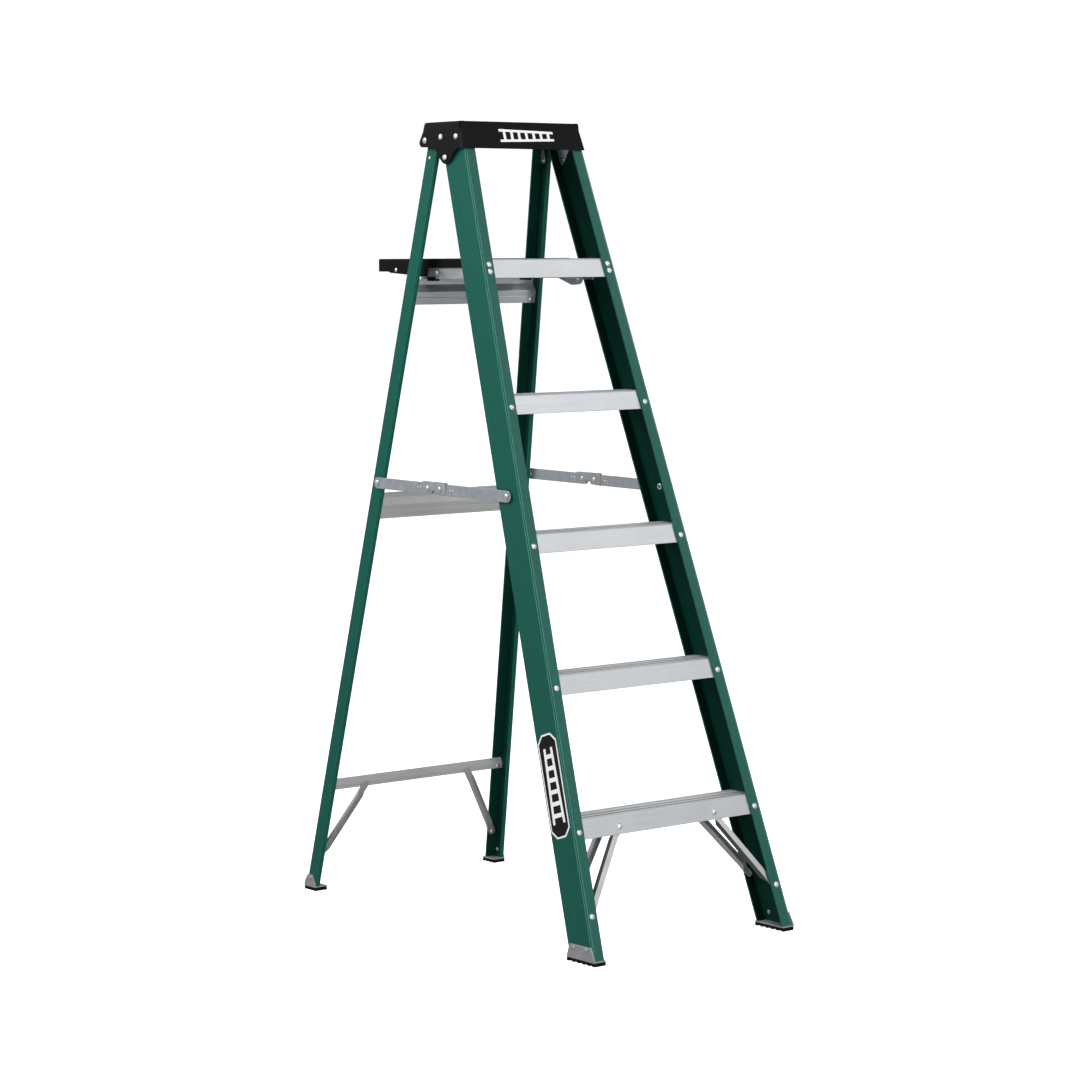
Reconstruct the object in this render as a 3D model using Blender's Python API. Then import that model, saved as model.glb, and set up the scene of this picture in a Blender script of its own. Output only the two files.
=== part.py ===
"""A six-foot fibreglass stepladder, built as separate solids around its hinge lines.

Metres, +Z up, X across the ladder. The steps face -Y, and the origin is on the floor in the middle
of the footprint. Two tilted frames carry most of the parts: the front section, whose rails lean back,
and the rear section, whose rails lean forward. In both, local Z runs up the rails and local Y points
to the back of the ladder.
"""

import math

import bmesh
import bpy
from mathutils import Matrix, Vector

# ---------------------------------------------------------------- driving dimensions
GAP = 0.0003                      # clearance wherever two pieces touch

FOOTPRINT_DEPTH = 1.052
FRONT_TOE_Y = -FOOTPRINT_DEPTH / 2
REAR_HEEL_Y = FRONT_TOE_Y + 1.0487
FRONT_LEAN = math.radians(18.6)   # front rails from the vertical
REAR_LEAN = math.radians(11.5)    # rear rails from the vertical

STEP_PITCH = 0.3048               # along the rails, one foot
STEP_COUNT = 5

# Channel rails: half width at the floor, taper per metre of rail, web depth, flanges, wall.
FRONT_HALF = 0.2770
FRONT_TAPER = 0.0642
FRONT_DEPTH = 0.078
FRONT_FLANGE = 0.0274
FRONT_WALL = 0.0038
REAR_HALF = 0.2738
REAR_TAPER = 0.0657
REAR_DEPTH = 0.037
REAR_BACK_FLANGE = 0.028
REAR_FRONT_FLANGE = 0.0102
REAR_WALL = 0.0035
RAIL_CORNER = 0.003

CAP_FRONT_Y = FRONT_TOE_Y + 0.5612  # lower edge in front; both end faces lean with the rails
CAP_REAR_Y = FRONT_TOE_Y + 0.7360
CAP_TOP = 1.741
CAP_SKIRT = 1.682                 # height of the lower edge in front
CAP_SKIRT_RISE = 0.035            # how much that edge climbs per metre towards the back
CAP_HALF_TOP = 0.1645
CAP_HALF_SKIRT = 0.1710
CAP_WALL = 0.0040
CAP_EAR_TIP = 1.649
CAP_EAR_Y = FRONT_TOE_Y + 0.628
CAP_EAR_STATIONS = (-0.046, -0.010, 0.008, 0.042)   # foot of the slope, tip, tip, foot of the slope
FRONT_RAIL_TOP = 1.735
REAR_RAIL_TOP = 1.692

REAR_HINGE = (FRONT_TOE_Y + 0.7005, 1.7016)       # y, z of the axis between the two sections
SPREADER_FRONT = (FRONT_TOE_Y + 0.3576, 0.9416)   # pivot on the front rails
SPREADER_REAR = (FRONT_TOE_Y + 0.8260, 0.9465)    # pivot on the rear rails
SPREADER_FRONT_ARM = 0.2334
SPREADER_LINK = 0.0430
SPREADER_BAR = 0.0250             # height of the bars
SPREADER_SHEET = 0.0025
SPREADER_X = 0.2165               # inner face of the bars

SHELF_PIVOT = (FRONT_TOE_Y + 0.544, 1.399)
SHELF_HALF = 0.138
SHELF_FRONT_Y = FRONT_TOE_Y + 0.574
SHELF_REAR_Y = FRONT_TOE_Y + 0.935
SHELF_TOP = 1.444
SHELF_WALL = 0.0025
SHELF_ARM_SHEET = 0.003

STEP_SHEET = 0.0022
STEP_FACE = 0.0431                # height of a step's front face along the rail
STEP_LIP = 0.022
CROSS_BARS = {"bottom": (0.240, 0.0245), "middle": (0.8835, 0.0575), "top": (1.3735, 0.0550)}  # s, height
CROSS_BAR_SHEET = 0.0018
LOW_BAR_REACH = 0.0070            # how far a bar's face stands ahead of its back flange
HIGH_BAR_REACH = 0.0125

FOOT_PLATE = 0.003
FOOT_BASE = 0.0077                # underside of the base plates above the floor
FRONT_FOOT_LENGTH = 0.0905
REAR_FOOT_LENGTH = 0.0435
STRUT_SLACK = 0.0010              # between a strut's flat ends and what they are fastened to
RIVET_RADIUS = 0.0040
ROUND_SEGMENTS = 20

SIDES = {"left": -1, "right": 1}

# name: base colour (linear), roughness, metallic
MATERIALS = {
    "fibreglass_green": ((0.018, 0.115, 0.088), 0.42, 0.0),
    "black_plastic": ((0.010, 0.010, 0.010), 0.50, 0.0),
    "aluminium": ((0.62, 0.64, 0.66), 0.38, 1.0),
    "zinc_steel": ((0.36, 0.38, 0.40), 0.42, 1.0),
    "rubber": ((0.006, 0.006, 0.006), 0.80, 0.0),
}


# ---------------------------------------------------------------- frames
def section_frame(foot_y, lean):
    """Frame with its origin on the floor line, Z up the rails and Y to the back."""
    return Matrix.Translation((0, foot_y, 0)) @ Matrix.Rotation(lean, 4, "X")


FRONT_FRAME = section_frame(FRONT_TOE_Y, -FRONT_LEAN)
REAR_FRAME = section_frame(REAR_HEEL_Y, REAR_LEAN)


def rail_frame(section, side, half, taper):
    """Frame of one rail: Z runs up its outer face, X points out of the ladder on the right."""
    tilt = Matrix.Rotation(-side * math.atan(taper), 4, "Y")
    return section @ Matrix.Translation((side * half, 0, 0)) @ tilt


def plane_frame(x):
    """Frame of a plate that lies in a vertical plane: local X is world Y, local Y is world Z."""
    axes = Matrix(((0, 0, 1), (1, 0, 0), (0, 1, 0))).to_4x4()
    return Matrix.Translation((x, 0, 0)) @ axes


def bar_frame(start, end, normal):
    """Frame with Z from start to end and Y as near to the normal as it can be."""
    along = (end - start).normalized()
    across = normal.cross(along).normalized()
    out = along.cross(across)
    turn = Matrix((across, out, along)).transposed().to_4x4()
    return Matrix.Translation(start) @ turn


def front_half(s):
    """Outer half width of the front section at a length s up the rails."""
    return FRONT_HALF - FRONT_TAPER * s


def rear_half(s):
    """Outer half width of the rear section at a length s up the rails."""
    return REAR_HALF - REAR_TAPER * s


# ---------------------------------------------------------------- outlines
def arc(centre, radius, start, end, count):
    """Points on an arc, with angles in degrees."""
    points = []
    for i in range(count + 1):
        angle = math.radians(start + (end - start) * i / count)
        points.append((centre[0] + radius * math.cos(angle), centre[1] + radius * math.sin(angle)))
    return points


def circle(centre, radius, count=ROUND_SEGMENTS):
    return arc(centre, radius, 0, 360, count)[:-1]


def stadium(start, end, radius, count=8):
    """Outline of a flat bar whose round ends are centred on start and end."""
    angle = math.degrees(math.atan2(end[1] - start[1], end[0] - start[0]))
    head = arc(end, radius, angle - 90, angle + 90, count)
    tail = arc(start, radius, angle + 90, angle + 270, count)
    return head + tail


def channel(depth, near_flange, far_flange, wall):
    """Section of a rail: the web's outer face at x = 0, the flanges reaching to -x."""
    return (
        [(-near_flange, 0.0)]
        + arc((-RAIL_CORNER, RAIL_CORNER), RAIL_CORNER, -90, 0, 3)
        + arc((-RAIL_CORNER, depth - RAIL_CORNER), RAIL_CORNER, 0, 90, 3)
        + [
            (-far_flange, depth),
            (-far_flange, depth - wall),
            (-wall, depth - wall),
            (-wall, wall),
            (-near_flange, wall),
        ]
    )


# ---------------------------------------------------------------- meshes
def loft(rings):
    """One closed solid through rings of equal length, capped at both ends."""
    work = bmesh.new()
    layers = [[work.verts.new(point) for point in ring] for ring in rings]
    count = len(rings[0])
    for low, high in zip(layers, layers[1:]):
        for i in range(count):
            j = (i + 1) % count
            work.faces.new((low[i], low[j], high[j], high[i]))
    work.faces.new(layers[0][::-1])
    work.faces.new(layers[-1])
    return finished(work)


def shell(outer, inner):
    """A tray-like shell: rings from the open rim to the closed top, outside and inside."""
    work = bmesh.new()
    skins = []
    for rings in (outer, inner):
        layers = [[work.verts.new(point) for point in ring] for ring in rings]
        skins.append(layers)
    count = len(outer[0])
    bands = [pair for layers in skins for pair in zip(layers, layers[1:])]
    bands.append((skins[0][0], skins[1][0]))
    for low, high in bands:
        for i in range(count):
            j = (i + 1) % count
            work.faces.new((low[i], low[j], high[j], high[i]))
    for layers in skins:
        work.faces.new(layers[-1])
    return finished(work)


def plate(outline, thickness, holes=()):
    """A flat plate from z = 0 to its thickness, with round holes given as (centre, radius)."""
    work = bmesh.new()
    loops = [outline] + [circle(centre, radius) for centre, radius in holes]
    edges = []
    for points in loops:
        corners = [work.verts.new((x, y, 0)) for x, y in points]
        for i, corner in enumerate(corners):
            edges.append(work.edges.new((corner, corners[(i + 1) % len(corners)])))
    filled = bmesh.ops.triangle_fill(work, use_beauty=True, edges=edges)
    faces = [item for item in filled["geom"] if isinstance(item, bmesh.types.BMFace)]
    raised = bmesh.ops.extrude_face_region(work, geom=faces, use_keep_orig=True)
    lifted = [item for item in raised["geom"] if isinstance(item, bmesh.types.BMVert)]
    bmesh.ops.translate(work, verts=lifted, vec=(0, 0, thickness))
    return finished(work)


def finished(work):
    """The bmesh as a triangle mesh with its faces pointing out."""
    bmesh.ops.triangulate(work, faces=work.faces)
    bmesh.ops.recalc_face_normals(work, faces=work.faces)
    mesh = bpy.data.meshes.new("solid")
    work.to_mesh(mesh)
    work.free()
    return mesh


def turned(profile, segments=ROUND_SEGMENTS):
    """A round solid about Z from (z, radius) stations."""
    return loft([[(x, y, z) for x, y in circle((0, 0), radius, segments)] for z, radius in profile])


def level_ring(outline, frame, height):
    """The outline, run along the frame's Z until it lies in a level plane."""
    row = frame[2]
    ring = []
    for x, y in outline:
        z = (height - row[3] - row[0] * x - row[1] * y) / row[2]
        ring.append((x, y, z))
    return ring


# ---------------------------------------------------------------- scene objects
def make_material(name):
    colour, roughness, metallic = MATERIALS[name]
    material = bpy.data.materials.new(name)
    material.use_nodes = True
    surface = material.node_tree.nodes["Principled BSDF"]
    surface.inputs["Base Color"].default_value = (*colour, 1)
    surface.inputs["Roughness"].default_value = roughness
    surface.inputs["Metallic"].default_value = metallic
    return material


def add_axis(name, y, z):
    """An empty on a hinge axis, which carries the pieces that turn about it."""
    empty = bpy.data.objects.new(name, None)
    empty.matrix_basis = Matrix.Translation((0, y, z))
    bpy.context.scene.collection.objects.link(empty)
    return empty


def add_part(name, mesh, material, frame=None, parent=None, smooth=False):
    """A named solid in the place that its frame gives, kept there under its parent."""
    mesh.name = name
    mesh.materials.append(material)
    if smooth:
        mesh.shade_smooth()
        mesh.set_sharp_from_angle(angle=math.radians(35))
    part = bpy.data.objects.new(name, mesh)
    if parent:
        part.parent = parent
        part.matrix_parent_inverse = parent.matrix_basis.inverted()
    if frame:
        part.matrix_basis = frame
    bpy.context.scene.collection.objects.link(part)
    return part


def bore(part, axes, radius):
    """Cuts round holes across the ladder through the part, on axes given as (y, z)."""
    reach = 0.5
    work = bmesh.new()
    for y, z in axes:
        ends = []
        for x in (-reach, reach):
            ends.append([work.verts.new((x, y + dy, z + dz)) for dy, dz in circle((0, 0), radius)])
        count = len(ends[0])
        for i in range(count):
            j = (i + 1) % count
            work.faces.new((ends[0][i], ends[0][j], ends[1][j], ends[1][i]))
        work.faces.new(ends[0])
        work.faces.new(ends[1])
    cutter = bpy.data.objects.new("cutter", finished(work))
    cutter.hide_render = True
    cutter.display_type = "WIRE"
    bpy.context.scene.collection.objects.link(cutter)
    cut = part.modifiers.new("bore", "BOOLEAN")
    cut.operation = "DIFFERENCE"
    cut.solver = "EXACT"
    cut.object = cutter


def add_rivet(name, x_from, x_to, axis, material, parent, shank=RIVET_RADIUS, head=0.0075):
    """A rivet across the ladder: shank from x_from to x_to, a domed head past each end."""
    y, z = axis
    direction = 1 if x_to > x_from else -1
    length = abs(x_to - x_from)
    frame = Matrix.Translation((x_from, y, z)) @ Matrix.Rotation(direction * math.pi / 2, 4, "Y")
    dome = 0.0032
    profile = [
        (-dome, head * 0.45),
        (-dome * 0.75, head * 0.78),
        (-dome * 0.3, head),
        (0.0, head),
        (GAP * 0.1, shank),
        (length - GAP * 0.1, shank),
        (length, head * 0.8),
        (length + dome * 0.4, head * 0.8),
        (length + dome * 0.8, head * 0.5),
    ]
    return add_part(name, turned(profile), material, frame, parent, smooth=True)


# ---------------------------------------------------------------- rails
def build_rail(name, side, rear, material, parent):
    if rear:
        frame = rail_frame(REAR_FRAME, side, REAR_HALF, REAR_TAPER)
        section = channel(REAR_DEPTH, REAR_FRONT_FLANGE, REAR_BACK_FLANGE, REAR_WALL)
        section = [(x, y - REAR_DEPTH) for x, y in section]
        top = REAR_RAIL_TOP
    else:
        frame = rail_frame(FRONT_FRAME, side, FRONT_HALF, FRONT_TAPER)
        section = channel(FRONT_DEPTH, FRONT_FLANGE, FRONT_FLANGE, FRONT_WALL)
        top = FRONT_RAIL_TOP
    outline = [(side * x, y) for x, y in section]
    bottom = FOOT_BASE + FOOT_PLATE + GAP
    mesh = loft([level_ring(outline, frame, bottom), level_ring(outline, frame, top)])
    return add_part(name, mesh, material, frame, parent)


# ---------------------------------------------------------------- steps and their braces
def step_section():
    """Section of a step in (t, s): leaning front face, level tread with ribs, short rear lip."""
    slope = math.tan(FRONT_LEAN)
    front = FRONT_WALL + GAP
    back = FRONT_DEPTH - FRONT_WALL - GAP
    under = STEP_SHEET / math.cos(FRONT_LEAN)
    rib_height = 0.0010
    rib_width = 0.0030
    rib_pitch = 0.0085
    outline = [(front, -STEP_FACE)]
    outline += arc((front + 0.003, -0.003), 0.003, 180, 95, 3)
    ribs = int((back - front - 0.006) / rib_pitch)
    for i in range(ribs):
        start = front + 0.006 + i * rib_pitch
        end = start + rib_width
        outline += [
            (start, slope * (start - front) - rib_height),
            (start + rib_height, slope * (start - front)),
            (end, slope * (end - front)),
            (end + rib_height, slope * (end - front) - rib_height),
        ]
    top = slope * (back - front) - rib_height
    outline += [
        (back, top),
        (back, top - STEP_LIP),
        (back - STEP_SHEET, top - STEP_LIP),
        (back - STEP_SHEET, top - under - rib_height),
        (front + STEP_SHEET, -under - rib_height + slope * STEP_SHEET),
        (front + STEP_SHEET, -STEP_FACE),
    ]
    return outline


def build_step(index, material, parent):
    s_tread = STEP_PITCH * index
    wall = FRONT_WALL / math.cos(math.atan(FRONT_TAPER))
    rings = []
    for side in (-1, 1):
        ring = []
        for t, s in step_section():
            half = front_half(s_tread + s) - wall - GAP
            ring.append((side * half, t, s))
        rings.append(ring)
    frame = FRONT_FRAME @ Matrix.Translation((0, 0, s_tread))
    return add_part(f"step_{index}", loft(rings), material, frame, parent)


def build_strut(name, start, end, normal, material, parent, width=0.0150, depth=0.0140):
    """A pressed channel strut whose two ends are flattened and rounded."""
    sheet = 0.0018
    length = (end - start).length
    flat = sheet + 0.0004
    tab = 0.016
    radius = width / 2
    stations = []
    for angle in (30, 60, 90):
        turn = math.radians(angle)
        stations.append((-radius * math.cos(turn), width * math.sin(turn), flat))
    stations.append((tab, width, flat))
    stations.append((tab * 1.8, width * 0.86, depth))
    middle = [(length - z, w, d) for z, w, d in reversed(stations)]
    rings = []
    for z, w, d in stations + middle:
        edge = w / 2
        rings.append([
            (-edge, 0, z),
            (edge, 0, z),
            (edge, d, z),
            (edge - sheet, d, z),
            (edge - sheet, sheet, z),
            (-edge + sheet, sheet, z),
            (-edge + sheet, d, z),
            (-edge, d, z),
        ])
    return add_part(name, loft(rings), material, bar_frame(start, end, normal), parent)


def build_step_braces(material, parent):
    back = FRONT_FRAME.to_3x3() @ Vector((0, 1, 0))
    flange = FRONT_WALL + GAP
    for side_name, side in SIDES.items():
        top = FRONT_FRAME @ Vector((side * 0.131, flange + STEP_SHEET + STRUT_SLACK, 0.279))
        foot = FRONT_FRAME @ Vector((side * 0.2555, flange + STRUT_SLACK, 0.1035))
        build_strut(f"step_brace_front_{side_name}", top, foot, back, material, parent)
        top = FRONT_FRAME @ Vector((side * 0.114, FRONT_DEPTH - flange - STEP_SHEET - STRUT_SLACK, 0.309))
        foot = FRONT_FRAME @ Vector((side * 0.2520, FRONT_DEPTH - flange - STRUT_SLACK, 0.140))
        build_strut(f"step_brace_rear_{side_name}", top, foot, -back, material, parent)


# ---------------------------------------------------------------- rear cross bars and braces
def cross_bar_section(height, shoulder_top, shoulder_foot, reach, groove):
    """Section of a rear cross bar in (y, s): back flange, sloped shoulder and grooved front face."""
    sheet = CROSS_BAR_SHEET
    back = -REAR_WALL - GAP
    face = back - reach
    groove_depth = 0.0010
    return [
        (back, height),
        (back, shoulder_top - sheet * 0.4),
        (face, shoulder_foot - sheet * 0.4),
        (face, 0.0),
        (face - sheet, 0.0),
        (face - sheet, groove - 0.001),
        (face - sheet + groove_depth, groove),
        (face - sheet, groove + 0.001),
        (face - sheet, shoulder_foot + sheet * 0.4),
        (back - sheet, shoulder_top + sheet * 0.4),
        (back - sheet, height),
    ]


def build_cross_bar(place, material, parent):
    base, height = CROSS_BARS[place]
    if place == "bottom":
        section = cross_bar_section(height, height - 0.002, height * 0.53, LOW_BAR_REACH, height * 0.2)
    else:
        section = cross_bar_section(height, height - 0.013, height - 0.027, HIGH_BAR_REACH, height - 0.038)
    wall = REAR_WALL / math.cos(math.atan(REAR_TAPER))
    rings = []
    for side in (-1, 1):
        rings.append([(side * (rear_half(base + s) - wall - GAP), y, s) for y, s in section])
    frame = REAR_FRAME @ Matrix.Translation((0, 0, base))
    return add_part(f"rear_horizontal_{place}", loft(rings), material, frame, parent)


def build_rear_braces(material, parent):
    """Struts from the front of the lowest cross bar down to the back flanges of the rear rails."""
    ahead = REAR_FRAME.to_3x3() @ Vector((0, -1, 0))
    flange = -REAR_WALL - GAP
    before_bar = flange - LOW_BAR_REACH - CROSS_BAR_SHEET - STRUT_SLACK
    top_s = CROSS_BARS["bottom"][0] + 0.0060
    for side_name, side in SIDES.items():
        top = REAR_FRAME @ Vector((side * 0.147, before_bar, top_s))
        foot = REAR_FRAME @ Vector((side * 0.2515, flange - STRUT_SLACK, 0.077))
        build_strut(f"rear_brace_{side_name}", top, foot, ahead, material, parent, width=0.0180, depth=0.0080)


# ---------------------------------------------------------------- feet
def foot_half(y, z, rear):
    """Outer half width of a rail at a world point beside its foot."""
    if rear:
        local = REAR_FRAME.inverted() @ Vector((0, y, z))
        return rear_half(local.z)
    local = FRONT_FRAME.inverted() @ Vector((0, y, z))
    return front_half(local.z)


def build_foot(side_name, rear, steel, rubber, parent):
    """An angle bracket outside the rail and under it, and the ribbed tread below."""
    side = SIDES[side_name]
    if rear:
        start = -FRONT_TOE_Y - REAR_FOOT_LENGTH
        length = REAR_FOOT_LENGTH
        heights = [(0.0, 0.013), (0.0123, 0.0358), (0.0325, 0.0358), (0.0435, 0.0174)]
        width = 0.0345
        grooves = 3
    else:
        start = FRONT_TOE_Y
        length = FRONT_FOOT_LENGTH
        heights = [(0.0, 0.013), (0.0127, 0.0380), (0.0840, 0.0365), (0.0905, 0.0155)]
        width = 0.0318
        grooves = 5
    place = "rear" if rear else "front"
    middle = start + length / 2
    outer = foot_half(middle, FOOT_BASE, rear) + FOOT_PLATE + GAP
    inner = outer - width
    top = FOOT_BASE + FOOT_PLATE

    rings = []
    for offset, height in heights:
        y = start + offset
        lean = outer - FOOT_PLATE - GAP - foot_half(y, height, rear)
        base_lean = outer - FOOT_PLATE - GAP - foot_half(y, top, rear)
        rings.append([
            (side * inner, y, FOOT_BASE),
            (side * outer, y, FOOT_BASE),
            (side * (outer - lean), y, height),
            (side * (outer - lean - FOOT_PLATE), y, height),
            (side * (outer - base_lean - FOOT_PLATE), y, top),
            (side * inner, y, top),
        ])
    add_part(f"{place}_foot_bracket_{side_name}", loft(rings), steel, parent=parent)

    groove_depth = 0.0026
    land = length / (2 * grooves + 1)
    stations = [(start, 0.0)]
    for i in range(grooves):
        edge = start + land * (2 * i + 1)
        stations += [
            (edge, 0.0),
            (edge + land * 0.2, groove_depth),
            (edge + land * 0.8, groove_depth),
            (edge + land, 0.0),
        ]
    stations.append((start + length, 0.0))
    tread = FOOT_BASE - GAP
    near = side * (inner + 0.0008)
    far = side * (outer - 0.0008)
    rings = [[(near, y, low), (far, y, low), (far, y, tread), (near, y, tread)] for y, low in stations]
    add_part(f"{place}_foot_tread_{side_name}", loft(rings), rubber, parent=parent)


# ---------------------------------------------------------------- cap
def cap_half_at(z):
    """Outer half width of the cap's side at a height."""
    share = (z - CAP_SKIRT) / (CAP_TOP - CAP_SKIRT)
    return CAP_HALF_SKIRT + (CAP_HALF_TOP - CAP_HALF_SKIRT) * share


def cap_ring(level, inset, heights):
    """The cap's outline at a level, moved in by an inset; heights maps (x, y) to z."""
    front_corner = 0.007 - inset * 0.9
    rear_corner = 0.020 - inset
    half = cap_half_at(level) - inset
    front = CAP_FRONT_Y + (level - CAP_SKIRT) * math.tan(FRONT_LEAN) + inset
    rear = CAP_REAR_Y - (level - CAP_SKIRT) * math.tan(REAR_LEAN) - inset
    stations = [CAP_EAR_Y + offset for offset in CAP_EAR_STATIONS]
    points = arc((half - front_corner, front + front_corner), front_corner, -90, 0, 3)
    points += [(half, y) for y in stations]
    points += arc((half - rear_corner, rear - rear_corner), rear_corner, 0, 90, 5)
    points += arc((rear_corner - half, rear - rear_corner), rear_corner, 90, 180, 5)
    points += [(-half, y) for y in reversed(stations)]
    points += arc((front_corner - half, front + front_corner), front_corner, 180, 270, 3)
    return [(x, y, heights(x, y)) for x, y in points]


def cap_rim(x, y):
    """Height of the cap's lower edge: nearly level, with a pointed ear half way along each side."""
    edge = CAP_SKIRT + CAP_SKIRT_RISE * (y - CAP_FRONT_Y)
    on_side = abs(x) > CAP_HALF_SKIRT - CAP_WALL * 1.5
    beside_tip = CAP_EAR_STATIONS[0] < y - CAP_EAR_Y < CAP_EAR_STATIONS[3]
    if on_side and beside_tip:
        return CAP_EAR_TIP
    return edge


def level(height):
    return lambda x, y: height


def build_cap(material, parent):
    edge = CAP_TOP - 0.005
    outer = [
        cap_ring(CAP_SKIRT, 0.0, cap_rim),
        cap_ring(edge, 0.0, level(edge)),
        cap_ring(edge, 0.0013, level(CAP_TOP - 0.0013)),
        cap_ring(edge, 0.0045, level(CAP_TOP)),
    ]
    ceiling = CAP_TOP - CAP_WALL
    inner = [
        cap_ring(CAP_SKIRT, CAP_WALL, cap_rim),
        cap_ring(ceiling, CAP_WALL, level(ceiling)),
    ]
    cap = add_part("top_cap", shell(outer, inner), material, parent=parent)
    bore(cap, [REAR_HINGE], RIVET_RADIUS + GAP)
    return cap


# ---------------------------------------------------------------- hinge straps and pins
def build_hinge_straps(material, parent):
    """Straps on the inner faces of the rear webs, which carry the rear section on the cap's pins."""
    for side_name, side in SIDES.items():
        frame = rail_frame(REAR_FRAME, side, REAR_HALF, REAR_TAPER)
        x_inner = REAR_WALL + GAP
        web = rear_half((REAR_FRAME.inverted() @ Vector((0, *REAR_HINGE))).z)
        axis = frame.inverted() @ Vector((side * web, *REAR_HINGE))
        top = (axis.y, axis.z)
        foot = (-0.0135, axis.z - 0.0350)
        half = 0.0092
        outline = arc(foot, half, 180, 360, 8) + arc(top, half, -105, 120, 10)
        mesh = plate(outline, 0.003, [(top, RIVET_RADIUS + GAP * 2)])
        turn = Matrix(((0, 0, -side), (1, 0, 0), (0, 1, 0))).to_4x4()
        place = frame @ Matrix.Translation((-side * x_inner, 0, 0)) @ turn
        add_part(f"rear_hinge_strap_{side_name}", mesh, material, place, parent)


def build_hinge_rivets(material, parent):
    """The pins of the rear section, each through the cap's side and a strap."""
    y, z = REAR_HINGE
    outside = cap_half_at(z) + 0.0018
    strap_height = (REAR_FRAME.inverted() @ Vector((0, y, z))).z
    inside = rear_half(strap_height) - REAR_WALL - GAP - 0.003 - 0.0015
    for side_name, side in SIDES.items():
        add_rivet(f"rear_hinge_rivet_{side_name}", side * outside, side * inside, REAR_HINGE, material, parent)


# ---------------------------------------------------------------- spreaders
def along_spreader(distance):
    """A point on the straight line of the open spreader, from its front pivot."""
    y0, z0 = SPREADER_FRONT
    y1, z1 = SPREADER_REAR
    length = math.hypot(y1 - y0, z1 - z0)
    share = distance / length
    return (y0 + (y1 - y0) * share, z0 + (z1 - z0) * share)


def build_spreader(side_name, material, root, front_axis, link_axis, rear_axis):
    """Two bars and the saddle that joins them; the saddle is an upturned channel over both ends."""
    side = SIDES[side_name]
    half = SPREADER_BAR / 2
    hole = RIVET_RADIUS + GAP
    first = along_spreader(SPREADER_FRONT_ARM)
    second = along_spreader(SPREADER_FRONT_ARM + SPREADER_LINK)
    bar_x = side * SPREADER_X if side > 0 else -SPREADER_X - SPREADER_SHEET

    bars = (
        ("spreader_front_arm", SPREADER_FRONT, first, front_axis),
        ("spreader_rear_arm", second, SPREADER_REAR, rear_axis),
    )
    for name, start, end, axis in bars:
        mesh = plate(stadium(start, end, half), SPREADER_SHEET, [(start, hole), (end, hole)])
        add_part(f"{name}_{side_name}", mesh, material, plane_frame(bar_x), axis)

    centre = along_spreader(SPREADER_FRONT_ARM + SPREADER_LINK / 2)
    slack = 0.0006
    sheet = 0.0018
    inner_x = SPREADER_X - slack - sheet
    outer_x = SPREADER_X + SPREADER_SHEET + slack + sheet
    top = centre[1] + half + 0.0010
    foot = centre[1] - half + 0.0010
    notch = 0.008
    reach = SPREADER_LINK / 2 + 0.0200
    section = [
        (inner_x, -1),
        (inner_x, 1),
        (outer_x, 1),
        (outer_x, -1),
        (outer_x - sheet, -1),
        (outer_x - sheet, 0),
        (inner_x + sheet, 0),
        (inner_x + sheet, -1),
    ]
    stations = [
        (-reach, foot),
        (-notch * 1.4, foot),
        (-notch * 0.5, foot + notch),
        (notch * 0.5, foot + notch),
        (notch * 1.4, foot),
        (reach, foot),
    ]
    rings = []
    for offset, low in stations:
        levels = {-1: low, 0: top, 1: top + sheet}
        rings.append([(side * x, centre[0] + offset, levels[level]) for x, level in section])
    link = add_part(f"spreader_link_{side_name}", loft(rings), material, parent=link_axis)
    bore(link, [first, second], hole)

    past_link = GAP
    pins = (("front", first), ("rear", second))
    for place, point in pins:
        add_rivet(f"spreader_link_pin_{place}_{side_name}", side * (outer_x + past_link),
                  side * (inner_x - past_link), point, material, link_axis, head=0.0062)
    web = FRONT_HALF - FRONT_TAPER * (FRONT_FRAME.inverted() @ Vector((0, *SPREADER_FRONT))).z
    add_rivet(f"spreader_front_rivet_{side_name}", side * (SPREADER_X + SPREADER_SHEET + GAP),
              side * (web - FRONT_WALL - 0.0016), SPREADER_FRONT, material, root)
    rear_web = REAR_HALF - REAR_TAPER * (REAR_FRAME.inverted() @ Vector((0, *SPREADER_REAR))).z
    add_rivet(f"spreader_rear_rivet_{side_name}", side * (SPREADER_X + SPREADER_SHEET + GAP),
              side * (rear_web + 0.0050), SPREADER_REAR, material, rear_axis)


# ---------------------------------------------------------------- pail shelf
def shelf_ring(half, front, rear, heights):
    """The shelf's outline with stations along its sides, where the skirt changes height."""
    corner = 0.010
    steps = [0.020, 0.169, 0.1695, 0.3075, 0.316]
    stations = [SHELF_FRONT_Y + offset for offset in steps]
    points = [(half, front)]
    points += [(half, y) for y in stations]
    points += arc((half - corner, rear - corner), corner, 0, 90, 3)
    points += arc((corner - half, rear - corner), corner, 90, 180, 3)
    points += [(-half, y) for y in reversed(stations)]
    points += [(-half, front)]
    return [(x, y, heights(x, y)) for x, y in points]


def shelf_rim(x, y):
    """Lower edge of the skirt: shallow in front, deepest behind the rear rails."""
    offset = y - SHELF_FRONT_Y
    if offset < 0.010:
        return SHELF_TOP - 0.006
    if offset < 0.1692:
        return SHELF_TOP - 0.020
    if offset < 0.310:
        return SHELF_TOP - 0.0400 + 0.064 * (offset - 0.1695)
    return SHELF_TOP - 0.0285


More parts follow.
